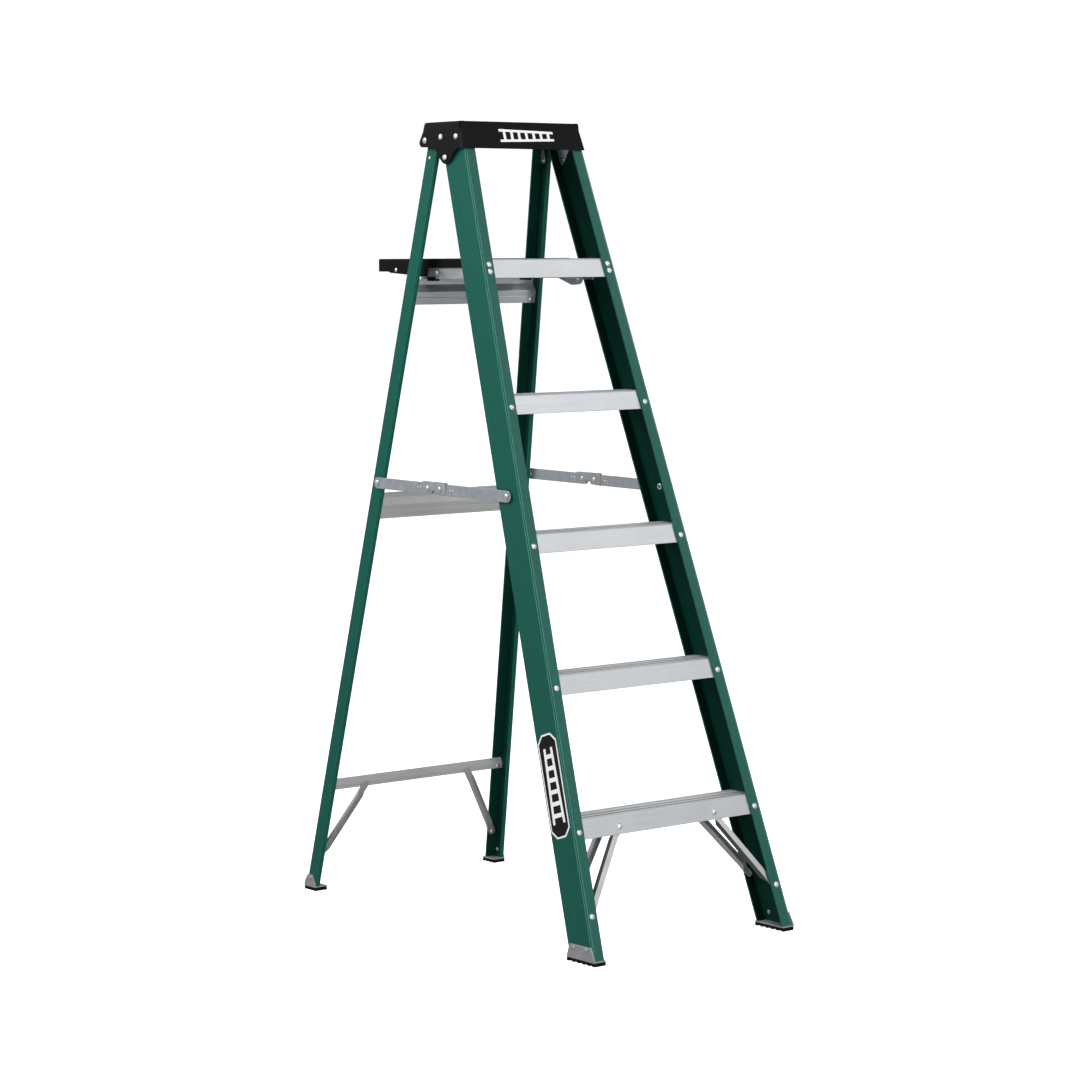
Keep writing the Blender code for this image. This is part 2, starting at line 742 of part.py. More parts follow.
def build_shelf(plastic, metal, rubber, axis):
    wall = SHELF_WALL
    outer = [
        shelf_ring(SHELF_HALF, SHELF_FRONT_Y, SHELF_REAR_Y, shelf_rim),
        shelf_ring(SHELF_HALF, SHELF_FRONT_Y, SHELF_REAR_Y, lambda x, y: SHELF_TOP),
    ]
    inner = [
        shelf_ring(SHELF_HALF - wall, SHELF_FRONT_Y + wall, SHELF_REAR_Y - wall, shelf_rim),
        shelf_ring(SHELF_HALF - wall, SHELF_FRONT_Y + wall, SHELF_REAR_Y - wall, lambda x, y: SHELF_TOP - 0.003),
    ]
    add_part("pail_shelf", shell(outer, inner), plastic, parent=axis)

    pivot_y, pivot_z = SHELF_PIVOT
    under_deck = SHELF_TOP - 0.003 - GAP - pivot_z
    contour = [
        (0.024, -0.0150),
        (0.071, 0.0003),
        (0.222, 0.0003),
        (0.236, 0.0140),
        (0.330, 0.0140),
        (0.330, under_deck),
        (0.062, under_deck),
        (0.050, 0.0090),
        (0.028, 0.0050),
    ]
    lobe = arc((0, 0), 0.014, 60, 265, 10)
    outline = [(pivot_y + a, pivot_z + b) for a, b in contour + lobe]
    arm_out = SHELF_HALF - wall - GAP
    for side_name, side in SIDES.items():
        mesh = plate(outline, SHELF_ARM_SHEET, [(SHELF_PIVOT, RIVET_RADIUS)])
        x = arm_out - SHELF_ARM_SHEET if side > 0 else -arm_out
        add_part(f"shelf_arm_{side_name}", mesh, metal, plane_frame(x), axis)

        low, high = pivot_z - 0.0040, pivot_z + 0.0070
        near, far = pivot_y + 0.168, pivot_y + 0.204
        block = [(near, low), (far, low), (far, high), (near, high)]
        bumper_in = arm_out - SHELF_ARM_SHEET - GAP - 0.008
        rings = [[(side * x, y, z) for y, z in block] for x in (bumper_in, bumper_in + 0.008)]
        add_part(f"shelf_bumper_{side_name}", loft(rings), rubber, parent=axis)


def build_shelf_pins(material, parent):
    """Long pins from the inner faces of the front webs to the shelf arms."""
    y, z = SHELF_PIVOT
    web = front_half((FRONT_FRAME.inverted() @ Vector((0, y, z))).z)
    outside = web - FRONT_WALL - 0.0042
    inside = SHELF_HALF - SHELF_WALL - GAP - SHELF_ARM_SHEET - GAP
    for side_name, side in SIDES.items():
        add_rivet(f"shelf_pivot_pin_{side_name}", side * outside, side * inside, SHELF_PIVOT,
                  material, parent, shank=RIVET_RADIUS - GAP * 1.5, head=0.0045)


# ---------------------------------------------------------------- the ladder
def clear_scene():
    for item in list(bpy.data.objects):
        bpy.data.objects.remove(item, do_unlink=True)


def build_ladder():
    green, black, aluminium, steel, rubber = (make_material(name) for name in MATERIALS)
    front = add_axis("front_section", FRONT_TOE_Y, 0)
    rear = add_axis("rear_section", *REAR_HINGE)
    shelf = add_axis("shelf_axis", *SHELF_PIVOT)

    for side_name, side in SIDES.items():
        rail = build_rail(f"front_rail_{side_name}", side, False, green, front)
        bore(rail, [SPREADER_FRONT], RIVET_RADIUS + GAP)
        build_rail(f"rear_rail_{side_name}", side, True, green, rear)
        build_foot(side_name, False, steel, rubber, front)
        build_foot(side_name, True, steel, rubber, rear)
    for index in range(1, STEP_COUNT + 1):
        build_step(index, aluminium, front)
    build_step_braces(steel, front)
    build_cap(black, front)
    build_hinge_rivets(steel, front)

    build_hinge_straps(steel, rear)
    for place in CROSS_BARS:
        build_cross_bar(place, aluminium, rear)
    build_rear_braces(steel, rear)

    build_shelf(black, steel, rubber, shelf)
    build_shelf_pins(steel, front)
    for side_name in SIDES:
        front_axis = add_axis(f"spreader_front_axis_{side_name}", *SPREADER_FRONT)
        link_axis = add_axis(f"spreader_link_axis_{side_name}", *along_spreader(SPREADER_FRONT_ARM))
        rear_axis = add_axis(f"spreader_rear_axis_{side_name}",
                             *along_spreader(SPREADER_FRONT_ARM + SPREADER_LINK))
        build_spreader(side_name, steel, front, front_axis, link_axis, rear_axis)


clear_scene()
build_ladder()
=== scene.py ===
"""Studio picture of the folding stepladder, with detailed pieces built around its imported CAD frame."""

import math

import bmesh
import bpy
from mathutils import Matrix, Vector


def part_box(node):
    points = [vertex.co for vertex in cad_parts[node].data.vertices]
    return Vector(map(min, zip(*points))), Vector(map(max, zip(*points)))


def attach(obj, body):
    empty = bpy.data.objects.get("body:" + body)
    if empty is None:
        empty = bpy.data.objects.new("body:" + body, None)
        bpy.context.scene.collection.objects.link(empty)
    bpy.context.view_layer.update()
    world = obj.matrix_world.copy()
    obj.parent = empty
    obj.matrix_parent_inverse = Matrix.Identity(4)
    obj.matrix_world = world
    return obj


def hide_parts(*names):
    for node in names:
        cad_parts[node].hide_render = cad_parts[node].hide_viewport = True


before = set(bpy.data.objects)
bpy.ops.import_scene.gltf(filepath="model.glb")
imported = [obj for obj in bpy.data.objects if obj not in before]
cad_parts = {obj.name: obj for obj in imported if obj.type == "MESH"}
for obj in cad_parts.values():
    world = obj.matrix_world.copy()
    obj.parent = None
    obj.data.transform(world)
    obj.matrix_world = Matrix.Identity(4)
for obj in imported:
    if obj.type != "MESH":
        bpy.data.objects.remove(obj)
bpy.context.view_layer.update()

# ---- driving dimensions, metres
FRONT_LEAN = math.radians(18.6)
REAR_LEAN = math.radians(11.5)
FRONT_TOE_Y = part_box("front_foot_tread_left")[0].y
RAIL_SPREAD = 1.0487              # from the front rails' faces to the rear rails' backs, on the floor
REAR_HEEL_Y = FRONT_TOE_Y + RAIL_SPREAD

STEP_PITCH = 0.3048
STEP_COUNT = 5
RIVET_HEAD = 0.0068               # radius of the common rivet head
BAR_HEAD = 0.0052                 # of the cross bars' and the shelf arms' rivets
FOOT_HEAD = 0.0050
SMALL_HEAD = 0.0045
BEAD_OFFSET = 0.0031              # from a rail's near corner to the fine beads on both sides of it

# Rail channels: half width of the ladder at the floor and its taper, then the channel's section.
FRONT_HALF = 0.2770
FRONT_TAPER = 0.0642
FRONT_DEPTH = 0.078
FRONT_FLANGE = 0.0274
FRONT_WALL = 0.0038
REAR_HALF = 0.2738
REAR_TAPER = 0.0657
REAR_DEPTH = 0.037
REAR_WALL = 0.0035
REAR_BACK_FLANGE = 0.028
REAR_FRONT_FLANGE = 0.0102

TREAD_PITCH, TREAD_RIB = 0.0085, 0.0010
STEP_SETBACK = 0.0042             # from the rails' front faces to the steps' front faces
FOOT_PLATE = 0.0033               # plate and gap outside the webs
FRONT_FOOT_RIVETS = ((FRONT_TOE_Y + 0.0699, 0.0295), (FRONT_TOE_Y + 0.0281, 0.0307))
REAR_FOOT_RIVET = (FRONT_TOE_Y + 1.0278, 0.0282)
# Front section's rivets: distance in from the rails' outer corners, or (x, height up the rails).
STEP_RIVET_INSET = 0.0148
STEP_RIVET_DROPS = (0.028,)       # below each step's nominal height
TOP_STEP_RIVET_DROPS = (0.014, 0.030)
BACK_RIVET_RISE = 0.010           # of a rivet in the back flange over its partner in front
STEP_STRUT_RIVET = (0.132, 0.278)
FRONT_STRUT_RIVET = (0.2572, 0.1025)
BACK_STRUT_RIVETS = ((0.2585, 0.139), (0.2585, 0.124))
# Rear section's rivets: height up the rails, distance in from their corners, face ahead of their backs.
CROSS_BAR_RIVETS = ((1.382, 0.018, 0.0179), (0.893, 0.018, 0.0179), (0.246, 0.018, 0.0124))
REAR_STRUT_RIVET = (0.2515, 0.077)
REAR_STRUT_SHEET = 0.0030
STRAP_SHEET = 0.0033
STRAP_OUTER_HEAD, STRAP_INNER_HEAD = 0.0040, 0.0046
STRAP_RIVET_SETBACK = 0.0145      # from the rear rails' backs
STRAP_RIVET_DROP = 0.036          # below the hinge

CAP_LOW, CAP_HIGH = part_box("top_cap")
CAP_TOP = CAP_HIGH.z
CAP_EAR_TIP = CAP_LOW.z
CAP_SKIRT = CAP_TOP - 0.059       # lower edge in front
CAP_FRONT_Y, CAP_REAR_Y = CAP_LOW.y, CAP_HIGH.y
CAP_HALF_SKIRT = 0.1710
CAP_HALF_TOP = 0.1645
CAP_WALL = 0.0040
CAP_DECK_DROP = 0.0018            # of the sunken top below the rim
CAP_RIB = 0.0026
CAP_EAR_Y = FRONT_TOE_Y + 0.628
EAR_REACH_FRONT, EAR_REACH_REAR = 0.0475, 0.0440
CAP_EDGE_RISE = 0.035             # slope of the lower edge from front to rear
CAP_REAR_LIFT = 0.013
CAP_RIVETS = (
    (FRONT_TOE_Y + 0.647, 1.7080),
    (FRONT_TOE_Y + 0.592, 1.7076),
    (FRONT_TOE_Y + 0.626, 1.6630),
)
CAP_SIDE_SLOPE = 0.110
CAP_MARK_LENGTH = 0.150
CAP_MARK_FOOT, CAP_MARK_TIP = 0.030, 0.022
BACKING_SHEET = 0.0022
# (y, z) corners of the plate behind each ear
EAR_BACKING = (
    (FRONT_TOE_Y + 0.592, 1.700),
    (FRONT_TOE_Y + 0.676, 1.700),
    (FRONT_TOE_Y + 0.676, 1.684),
    (FRONT_TOE_Y + 0.639, 1.652),
    (FRONT_TOE_Y + 0.627, 1.652),
    (FRONT_TOE_Y + 0.604, 1.684),
)

LABEL_LENGTH, LABEL_WIDTH, LABEL_CUT = 0.2200, 0.0640, 0.0170
LABEL_BORDER = 0.0037
LABEL_HEIGHT, LABEL_SETBACK = 0.386, 0.0415   # of its middle, up the rail and back from the rail's face

SHELF_LOW, SHELF_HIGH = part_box("pail_shelf")
SHELF_TOP = SHELF_HIGH.z
SHELF_FRONT_Y, SHELF_REAR_Y = SHELF_LOW.y, SHELF_HIGH.y
SHELF_HALF = SHELF_HIGH.x
SHELF_ARM_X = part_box("shelf_arm_right")[1].x
SHELF_SIDE_RIVET = (FRONT_TOE_Y + 0.858, SHELF_TOP - 0.025)
SHELF_ARM_RIVET = (FRONT_TOE_Y + 0.710, SHELF_TOP - 0.031)
SHELF_SIDE_HEAD = 0.0048
# Where the skirt changes depth, back from the shelf's front edge.
SHELF_LIP_END, SHELF_STEP, SHELF_SLOPE_START, SHELF_REAR_STEP = 0.010, 0.1692, 0.1695, 0.310
SHELF_RIB = 0.0020
SHELF_DECK_DROP = 0.0012          # of the deck below the rim

CAMERA_POSITION = (-4.290, -5.387, 1.453)
CAMERA_AZIMUTH, CAMERA_PITCH, CAMERA_ROLL = -38.567, 5.211, -0.347   # degrees
CAMERA_LENS = 104.54

SIDES = {"left": -1, "right": 1}

# name, position, target, (width, height), watts
SOFTBOXES = (
    ("front_softbox", (3.4, -3.9, 3.6), (0, 0, 1.3), (2.6, 2.6), 36),
    ("left_softbox", (-2.8, 1.2, 3.4), (0, 0, 1.4), (1.6, 1.6), 90),
    ("high_softbox", (-0.8, -2.6, 4.2), (0, 0, 1.4), (1.6, 1.6), 40),
    ("back_softbox", (0.8, 5.6, 2.2), (0, 0, 0.9), (3.0, 2.4), 16),
    ("low_softbox", (-0.7, -3.0, 0.8), (-0.2, -0.4, 0.5), (0.8, 1.4), 22),
)


# ---- frames
def section_frame(foot_y, lean):
    """Origin on the floor line, Z up the rails, Y to the back of the ladder."""
    return Matrix.Translation((0, foot_y, 0)) @ Matrix.Rotation(lean, 4, "X")


FRONT_FRAME = section_frame(FRONT_TOE_Y, -FRONT_LEAN)
REAR_FRAME = section_frame(REAR_HEEL_Y, REAR_LEAN)


def rail_frame(section, side, half, taper):
    """Origin at the foot of a rail's outer corner, Z up its web, X out of the ladder on the right."""
    tilt = Matrix.Rotation(-side * math.atan(taper), 4, "Y")
    return section @ Matrix.Translation((side * half, 0, 0)) @ tilt


def front_half(s):
    return FRONT_HALF - FRONT_TAPER * s


def rear_half(s):
    return REAR_HALF - REAR_TAPER * s


def axes_frame(origin, z_axis, x_hint):
    """Frame at origin whose Z is z_axis and whose X is as near to x_hint as it can be."""
    z = Vector(z_axis).normalized()
    y = z.cross(Vector(x_hint)).normalized()
    x = y.cross(z)
    return Matrix.Translation(origin) @ Matrix((x, y, z)).transposed().to_4x4()


def side_frame(x):
    """Plane of a plate that stands across X: local X is world Y and local Y is world Z."""
    axes = Matrix(((0, 0, 1), (1, 0, 0), (0, 1, 0))).to_4x4()
    return Matrix.Translation((x, 0, 0)) @ axes


def cross_frame(y):
    """Plane of a plate that stands across Y: local X is world X and local Y is world Z."""
    axes = Matrix(((1, 0, 0), (0, 0, -1), (0, 1, 0))).to_4x4()
    return Matrix.Translation((0, y, 0)) @ axes


# ---- outlines
def arc(centre, radius, start, end, count):
    points = []
    for i in range(count + 1):
        angle = math.radians(start + (end - start) * i / count)
        points.append((centre[0] + radius * math.cos(angle), centre[1] + radius * math.sin(angle)))
    return points


def rectangle(left, right, low, high):
    return [(left, low), (right, low), (right, high), (left, high)]


def circle(radius, count=28):
    return arc((0, 0), radius, 0, 360, count)[:-1]


def stadium(start, end, radius):
    count = 12
    angle = math.degrees(math.atan2(end[1] - start[1], end[0] - start[0]))
    far_end = arc(end, radius, angle - 90, angle + 90, count)
    near_end = arc(start, radius, angle + 90, angle + 270, count)
    return far_end + near_end


def rounded(outline, radius):
    """The outline with every corner rounded; radius is one number, or one for each corner."""
    count = 4
    points = []
    for i, corner in enumerate(outline):
        r = radius[i] if isinstance(radius, (list, tuple)) else radius
        here = Vector(corner)
        before = Vector(outline[i - 1]) - here
        after = Vector(outline[(i + 1) % len(outline)]) - here
        half = before.angle(after, math.pi) / 2
        if r <= 0 or half > math.radians(88):
            points.append(tuple(here))
            continue
        reach = min(r / math.tan(half), before.length * 0.49, after.length * 0.49)
        start = here + before.normalized() * reach
        end = here + after.normalized() * reach
        for j in range(count + 1):
            t = j / count
            bend = start * (1 - t) ** 2 + here * 2 * t * (1 - t) + end * t ** 2
            points.append(tuple(bend))
    return points


# ---- meshes
def to_mesh(work):
    bmesh.ops.recalc_face_normals(work, faces=work.faces)
    mesh = bpy.data.meshes.new("piece")
    work.to_mesh(mesh)
    work.free()
    return mesh


def loft_into(work, rings, marks=None):
    """Skins rings into a bmesh and caps its ends; marks gives a material index for each point of a ring."""
    layers = [[work.verts.new(point) for point in ring] for ring in rings]
    count = len(rings[0])
    for low, high in zip(layers, layers[1:]):
        for i in range(count):
            j = (i + 1) % count
            face = work.faces.new((low[i], low[j], high[j], high[i]))
            face.material_index = marks[i] if marks else 0
    work.faces.new(layers[0][::-1])
    work.faces.new(layers[-1])


def loft(rings, marks=None):
    work = bmesh.new()
    loft_into(work, rings, marks=marks)
    return to_mesh(work)


def turned_into(work, profile, frame_matrix):
    rings = []
    for z, radius in profile:
        rings.append([frame_matrix @ Vector((x, y, z)) for x, y in circle(radius)])
    loft_into(work, rings)


def plate_into(work, outline, thickness, frame_matrix, edge=0.0004):
    """A flat plate with softened edges, from z = 0 to its thickness."""
    local = bmesh.new()
    corners = [local.verts.new((x, y, 0)) for x, y in outline]
    edges = []
    for i, corner in enumerate(corners):
        edges.append(local.edges.new((corner, corners[(i + 1) % len(corners)])))
    filled = bmesh.ops.triangle_fill(local, use_beauty=True, edges=edges)
    faces = [item for item in filled["geom"] if isinstance(item, bmesh.types.BMFace)]
    raised = bmesh.ops.extrude_face_region(local, geom=faces, use_keep_orig=True)
    lifted = [item for item in raised["geom"] if isinstance(item, bmesh.types.BMVert)]
    bmesh.ops.translate(local, verts=lifted, vec=(0, 0, thickness))
    bmesh.ops.recalc_face_normals(local, faces=local.faces)
    if edge:
        rims = [e for e in local.edges if e.is_manifold and e.calc_face_angle(0) > math.radians(60)]
        bmesh.ops.bevel(local, geom=rims, offset=edge, segments=2, affect="EDGES", profile=0.5)
    bmesh.ops.transform(local, matrix=frame_matrix, verts=local.verts)
    mesh = bpy.data.meshes.new("plate")
    local.to_mesh(mesh)
    local.free()
    work.from_mesh(mesh)
    bpy.data.meshes.remove(mesh)


def add_piece(name, mesh, materials, body, replaces=(), frame_matrix=None, angle=35):
    """A finished piece of the ladder that rides on a CAD body."""
    piece = bpy.data.objects.new(name, mesh)
    bpy.context.scene.collection.objects.link(piece)
    for material in materials:
        mesh.materials.append(material)
    if frame_matrix:
        mesh.transform(frame_matrix)
    mesh.shade_smooth()
    mesh.set_sharp_from_angle(angle=math.radians(angle))
    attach(piece, body)
    if replaces:
        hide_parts(*replaces)
    return piece


def softened_copy(node, materials, body, width, segments=2):
    """A CAD node's own shape with rolled edges, so that they catch the light."""
    work = bmesh.new()
    work.from_mesh(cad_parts[node].data)
    bmesh.ops.remove_doubles(work, verts=work.verts, dist=1e-6)
    bmesh.ops.dissolve_limit(work, angle_limit=math.radians(0.5), verts=work.verts, edges=work.edges)
    mesh = to_mesh(work)
    mesh.materials.clear()
    piece = add_piece(node + "_finished", mesh, materials, body, (node,))
    bevel = piece.modifiers.new("edges", "BEVEL")
    bevel.width = width
    bevel.segments = segments
    bevel.limit_method = "ANGLE"
    bevel.angle_limit = math.radians(40)
    bevel.harden_normals = True
    return piece


# ---- materials
def new_material(name):
    material = bpy.data.materials.new(name)
    material.use_nodes = True
    nodes = material.node_tree.nodes
    surface = nodes["Principled BSDF"]
    return material, nodes, material.node_tree.links, surface


def noise(nodes, links, scale, grain=(1, 1, 1), detail=4.0, roughness=0.55, lean=0.0):
    """Noise in the piece's own space; grain is its length along each axis, after the lean about X."""
    coords = nodes.new("ShaderNodeTexCoord")
    mapping = nodes.new("ShaderNodeMapping")
    mapping.vector_type = "TEXTURE"
    mapping.inputs["Rotation"].default_value = (lean, 0, 0)
    mapping.inputs["Scale"].default_value = grain
    texture = nodes.new("ShaderNodeTexNoise")
    texture.inputs["Scale"].default_value = scale
    texture.inputs["Detail"].default_value = detail
    texture.inputs["Roughness"].default_value = roughness
    links.new(coords.outputs["Object"], mapping.inputs["Vector"])
    links.new(mapping.outputs["Vector"], texture.inputs["Vector"])
    return texture.outputs["Fac"]


def ramp(nodes, links, value, low, high, start=0.35, end=0.65):
    """A colour ramp between two greys or colours."""
    node = nodes.new("ShaderNodeValToRGB")
    node.color_ramp.elements[0].position = start
    node.color_ramp.elements[1].position = end
    for element, tone in zip(node.color_ramp.elements, (low, high)):
        element.color = (*tone, 1) if isinstance(tone, (list, tuple)) else (tone, tone, tone, 1)
    links.new(value, node.inputs["Fac"])
    return node.outputs["Color"]


def mixed(nodes, links, factor, first, second):
    node = nodes.new("ShaderNodeMix")
    node.data_type = "RGBA"
    node.inputs["Factor"].default_value = factor
    links.new(first, node.inputs["A"])
    links.new(second, node.inputs["B"])
    return node.outputs["Result"]


def bump(nodes, links, heights, surface):
    """Chains bumps, each given as (value, distance)."""
    normal = None
    for value, distance in heights:
        node = nodes.new("ShaderNodeBump")
        node.inputs["Distance"].default_value = distance
        node.inputs["Strength"].default_value = 0.6
        links.new(value, node.inputs["Height"])
        if normal:
            links.new(normal, node.inputs["Normal"])
        normal = node.outputs["Normal"]
    links.new(normal, surface.inputs["Normal"])


def shade_of(colour, factor):
    return tuple(min(1.0, c * factor) for c in colour)


def fibreglass(name, colour, lean, polish=0.22):
    """Pultruded glass fibre: rovings that run up the rail, and a mat that mottles the resin."""
    material, nodes, links, surface = new_material(name)
    rovings = noise(nodes, links, 180, (1, 1, 40), 5, lean=lean)
    mat = noise(nodes, links, 420, (1, 1, 2), 6, 0.7, lean)
    clouds = noise(nodes, links, 9, (1, 1, 3), 3, lean=lean)
    streaked = ramp(nodes, links, rovings, shade_of(colour, 0.80), shade_of(colour, 1.20), 0.3, 0.7)
    mottled = ramp(nodes, links, mat, shade_of(colour, 0.50), shade_of(colour, 1.50), 0.36, 0.64)
    faded = ramp(nodes, links, clouds, shade_of(colour, 0.90), shade_of(colour, 1.10), 0.3, 0.7)
    tone = mixed(nodes, links, 0.6, streaked, mottled)
    tone = mixed(nodes, links, 0.35, tone, faded)
    links.new(tone, surface.inputs["Base Color"])
    links.new(ramp(nodes, links, mat, 0.38, 0.54), surface.inputs["Roughness"])
    surface.inputs["Specular IOR Level"].default_value = polish
    bump(nodes, links, [(rovings, 0.00020), (mat, 0.00010)], surface)
    return material


def drawn_metal(name, colour, grain, low, high, metallic, depth=0.00008, detail=6):
    """Metal with die or rolling lines along the axis of the longest grain."""
    material, nodes, links, surface = new_material(name)
    lines = noise(nodes, links, 330, grain, detail, 0.65)
    wear = noise(nodes, links, 12, (1, 1, 1), detail - 1, 0.6)
    lined = ramp(nodes, links, lines, shade_of(colour, 0.90), shade_of(colour, 1.08))
    worn = ramp(nodes, links, wear, shade_of(colour, 0.92), shade_of(colour, 1.05))
    links.new(mixed(nodes, links, 0.4, lined, worn), surface.inputs["Base Color"])
    links.new(ramp(nodes, links, lines, low, high), surface.inputs["Roughness"])
    surface.inputs["Metallic"].default_value = metallic
    bump(nodes, links, [(lines, depth)], surface)
    return material


def zinc_plate(name, colour, metallic, low=0.36, high=0.50):
    """Zinc-plated steel: cloudy plating with fine handling scratches."""
    material, nodes, links, surface = new_material(name)
    clouds = noise(nodes, links, 60, (1, 1, 1), 5, 0.6)
    scratches = noise(nodes, links, 500, (1, 9, 1), 4, 0.7)
    cloudy = ramp(nodes, links, clouds, shade_of(colour, 0.88), shade_of(colour, 1.08))
    lined = ramp(nodes, links, scratches, shade_of(colour, 0.92), shade_of(colour, 1.06))
    links.new(mixed(nodes, links, 0.5, cloudy, lined), surface.inputs["Base Color"])
    links.new(ramp(nodes, links, clouds, low, high), surface.inputs["Roughness"])
    surface.inputs["Metallic"].default_value = metallic
    bump(nodes, links, [(scratches, 0.00003)], surface)
    return material


def moulded_plastic(name, colour, low=0.42, high=0.58, grain=0.00010, polish=0.16):
    """Injection-moulded plastic with a spark-eroded grain."""
    material, nodes, links, surface = new_material(name)
    texture = noise(nodes, links, 900, (1, 1, 1), 3, 0.6)
    scuffs = noise(nodes, links, 22, (1, 1, 1), 6, 0.7)
    tone = ramp(nodes, links, scuffs, shade_of(colour, 0.85), shade_of(colour, 1.35))
    links.new(tone, surface.inputs["Base Color"])
    links.new(ramp(nodes, links, scuffs, low, high), surface.inputs["Roughness"])
    surface.inputs["Specular IOR Level"].default_value = polish
    bump(nodes, links, [(texture, grain)], surface)
    return material


def printed(name, colour, roughness=0.4, glow=0.0):
    """Printed vinyl or ink, a little uneven in tone; glow is painted light, an emission that makes the
    print brighter than its lighting.
    """
    material, nodes, links, surface = new_material(name)
    patches = noise(nodes, links, 45, (1, 1, 1), 4)
    tone = ramp(nodes, links, patches, shade_of(colour, 0.93), shade_of(colour, 1.05))
    links.new(tone, surface.inputs["Base Color"])
    links.new(ramp(nodes, links, patches, roughness - 0.05, roughness + 0.06), surface.inputs["Roughness"])
    surface.inputs["Specular IOR Level"].default_value = 0.2
    surface.inputs["Emission Color"].default_value = (1, 1, 1, 1)
    surface.inputs["Emission Strength"].default_value = glow
    return material


GREEN_RESIN = (0.0050, 0.116, 0.083)
# Painted shade: a darker copy of the resin for the inner faces of the rail channels.
SHADE_PAINTED_RESIN = (0.0020, 0.044, 0.030)
# Painted shade, deeper still, for the inner face of the front channels' far flange.
DEEP_SHADE_PAINTED_RESIN = (0.0005, 0.011, 0.007)
# Painted sheen: a lighter, greyer copy of the resin for the front rails' front flanges.
SHEEN_PAINTED_RESIN = (0.022, 0.136, 0.106)
# Painted highlight: a pale copy of the resin for the fine beads beside the rails' near corners.
HIGHLIGHT_PAINTED_RESIN = (0.160, 0.440, 0.370)
REAR_HIGHLIGHT_PAINTED_RESIN = (0.020, 0.190, 0.140)
FRONT_GREENS = [
    fibreglass("fibreglass_front", GREEN_RESIN, -FRONT_LEAN),
    fibreglass("fibreglass_front_inside_painted_shade", SHADE_PAINTED_RESIN, -FRONT_LEAN, 0.10),
    fibreglass("fibreglass_front_painted_highlight", HIGHLIGHT_PAINTED_RESIN, -FRONT_LEAN, 0.40),
    fibreglass("fibreglass_front_face_painted_sheen", SHEEN_PAINTED_RESIN, -FRONT_LEAN),
    fibreglass("fibreglass_front_painted_deep_shade", DEEP_SHADE_PAINTED_RESIN, -FRONT_LEAN, 0.05),
]
REAR_GREEN = fibreglass("fibreglass_rear", GREEN_RESIN, REAR_LEAN)
# Painted shade inside the rear channels, as on the front ones.
REAR_PAINTED_SHADE = fibreglass("fibreglass_rear_inside_painted_shade", SHADE_PAINTED_RESIN, REAR_LEAN, 0.10)
# Painted highlight on the rear rails' beads, subtler than in front.
REAR_PAINTED_HIGHLIGHT = fibreglass("fibreglass_rear_painted_highlight", REAR_HIGHLIGHT_PAINTED_RESIN, REAR_LEAN, 0.30)
REAR_GREENS = [REAR_GREEN, REAR_PAINTED_SHADE, REAR_PAINTED_HIGHLIGHT, REAR_GREEN, REAR_PAINTED_SHADE]
# A grain's length along each axis: the steps' die lines run across the ladder.
DIE_GRAIN = (60, 1, 1)
ALUMINIUM = drawn_metal("extruded_aluminium", (0.69, 0.71, 0.73), DIE_GRAIN, 0.38, 0.50, 0.70)
# Painted shade: a dark copy of the aluminium for every third groove of the treads.
GROOVE_SHADE_ALUMINIUM = drawn_metal("groove_painted_shade_aluminium", (0.26, 0.27, 0.28), DIE_GRAIN, 0.55, 0.70, 0.50)
# Painted light: a lighter copy of the aluminium for the treads' upper faces.
TREAD_LIT_ALUMINIUM = drawn_metal("tread_painted_light_aluminium", (0.90, 0.92, 0.94), DIE_GRAIN, 0.38, 0.50, 0.40)
DULL_ALUMINIUM = drawn_metal("rolled_aluminium", (0.62, 0.62, 0.61), DIE_GRAIN, 0.45, 0.58, 0.35)
PLAIN_ALUMINIUM = drawn_metal("plain_aluminium", (0.76, 0.79, 0.81), DIE_GRAIN, 0.30, 0.42, 0.75)
ZINC = zinc_plate("zinc_plate", (0.58, 0.61, 0.64), 0.75)
BRACKET_ZINC = zinc_plate("bracket_zinc", (0.46, 0.47, 0.47), 0.60, 0.42, 0.55)
SOFT_GRAIN = (20, 20, 20)
BRIGHT_STEEL = drawn_metal("pressed_steel", (0.78, 0.78, 0.78),
                           SOFT_GRAIN, 0.32, 0.38, 0.90, 0.00002, detail=1)
# Painted shade: a dark copy of the steel for the front struts' side walls and inner faces, and the eyelets'
# bores.
PAINTED_SHADE_STEEL = drawn_metal("pressed_steel_painted_shade", (0.14, 0.15, 0.15),
                           SOFT_GRAIN, 0.30, 0.42, 0.80, 0.00002, detail=1)
# Painted shade, lighter: a grey copy of the steel for the rear struts' side walls and inner faces.
HALF_SHADE_STEEL = drawn_metal("pressed_steel_rear_painted_shade", (0.56, 0.57, 0.57),
                            SOFT_GRAIN, 0.34, 0.46, 0.70, 0.00002, detail=1)
RIVET = drawn_metal("rivet_steel", (0.92, 0.92, 0.93), SOFT_GRAIN, 0.38, 0.46, 1.0, 0.00001, detail=1)
BLACK = moulded_plastic("black_plastic_grained", (0.0042, 0.0042, 0.0043), polish=0.12)
RUBBER = moulded_plastic("tread_rubber", (0.0050, 0.0050, 0.0050), 0.70, 0.90, 0.00025)
# The white ink glows a little: painted light that brightens the print.
INK_WHITE = printed("white_ink", (0.99, 0.99, 0.99), glow=0.14)
LABEL_BLACK = printed("label_black", (0.010, 0.009, 0.010), 0.34)


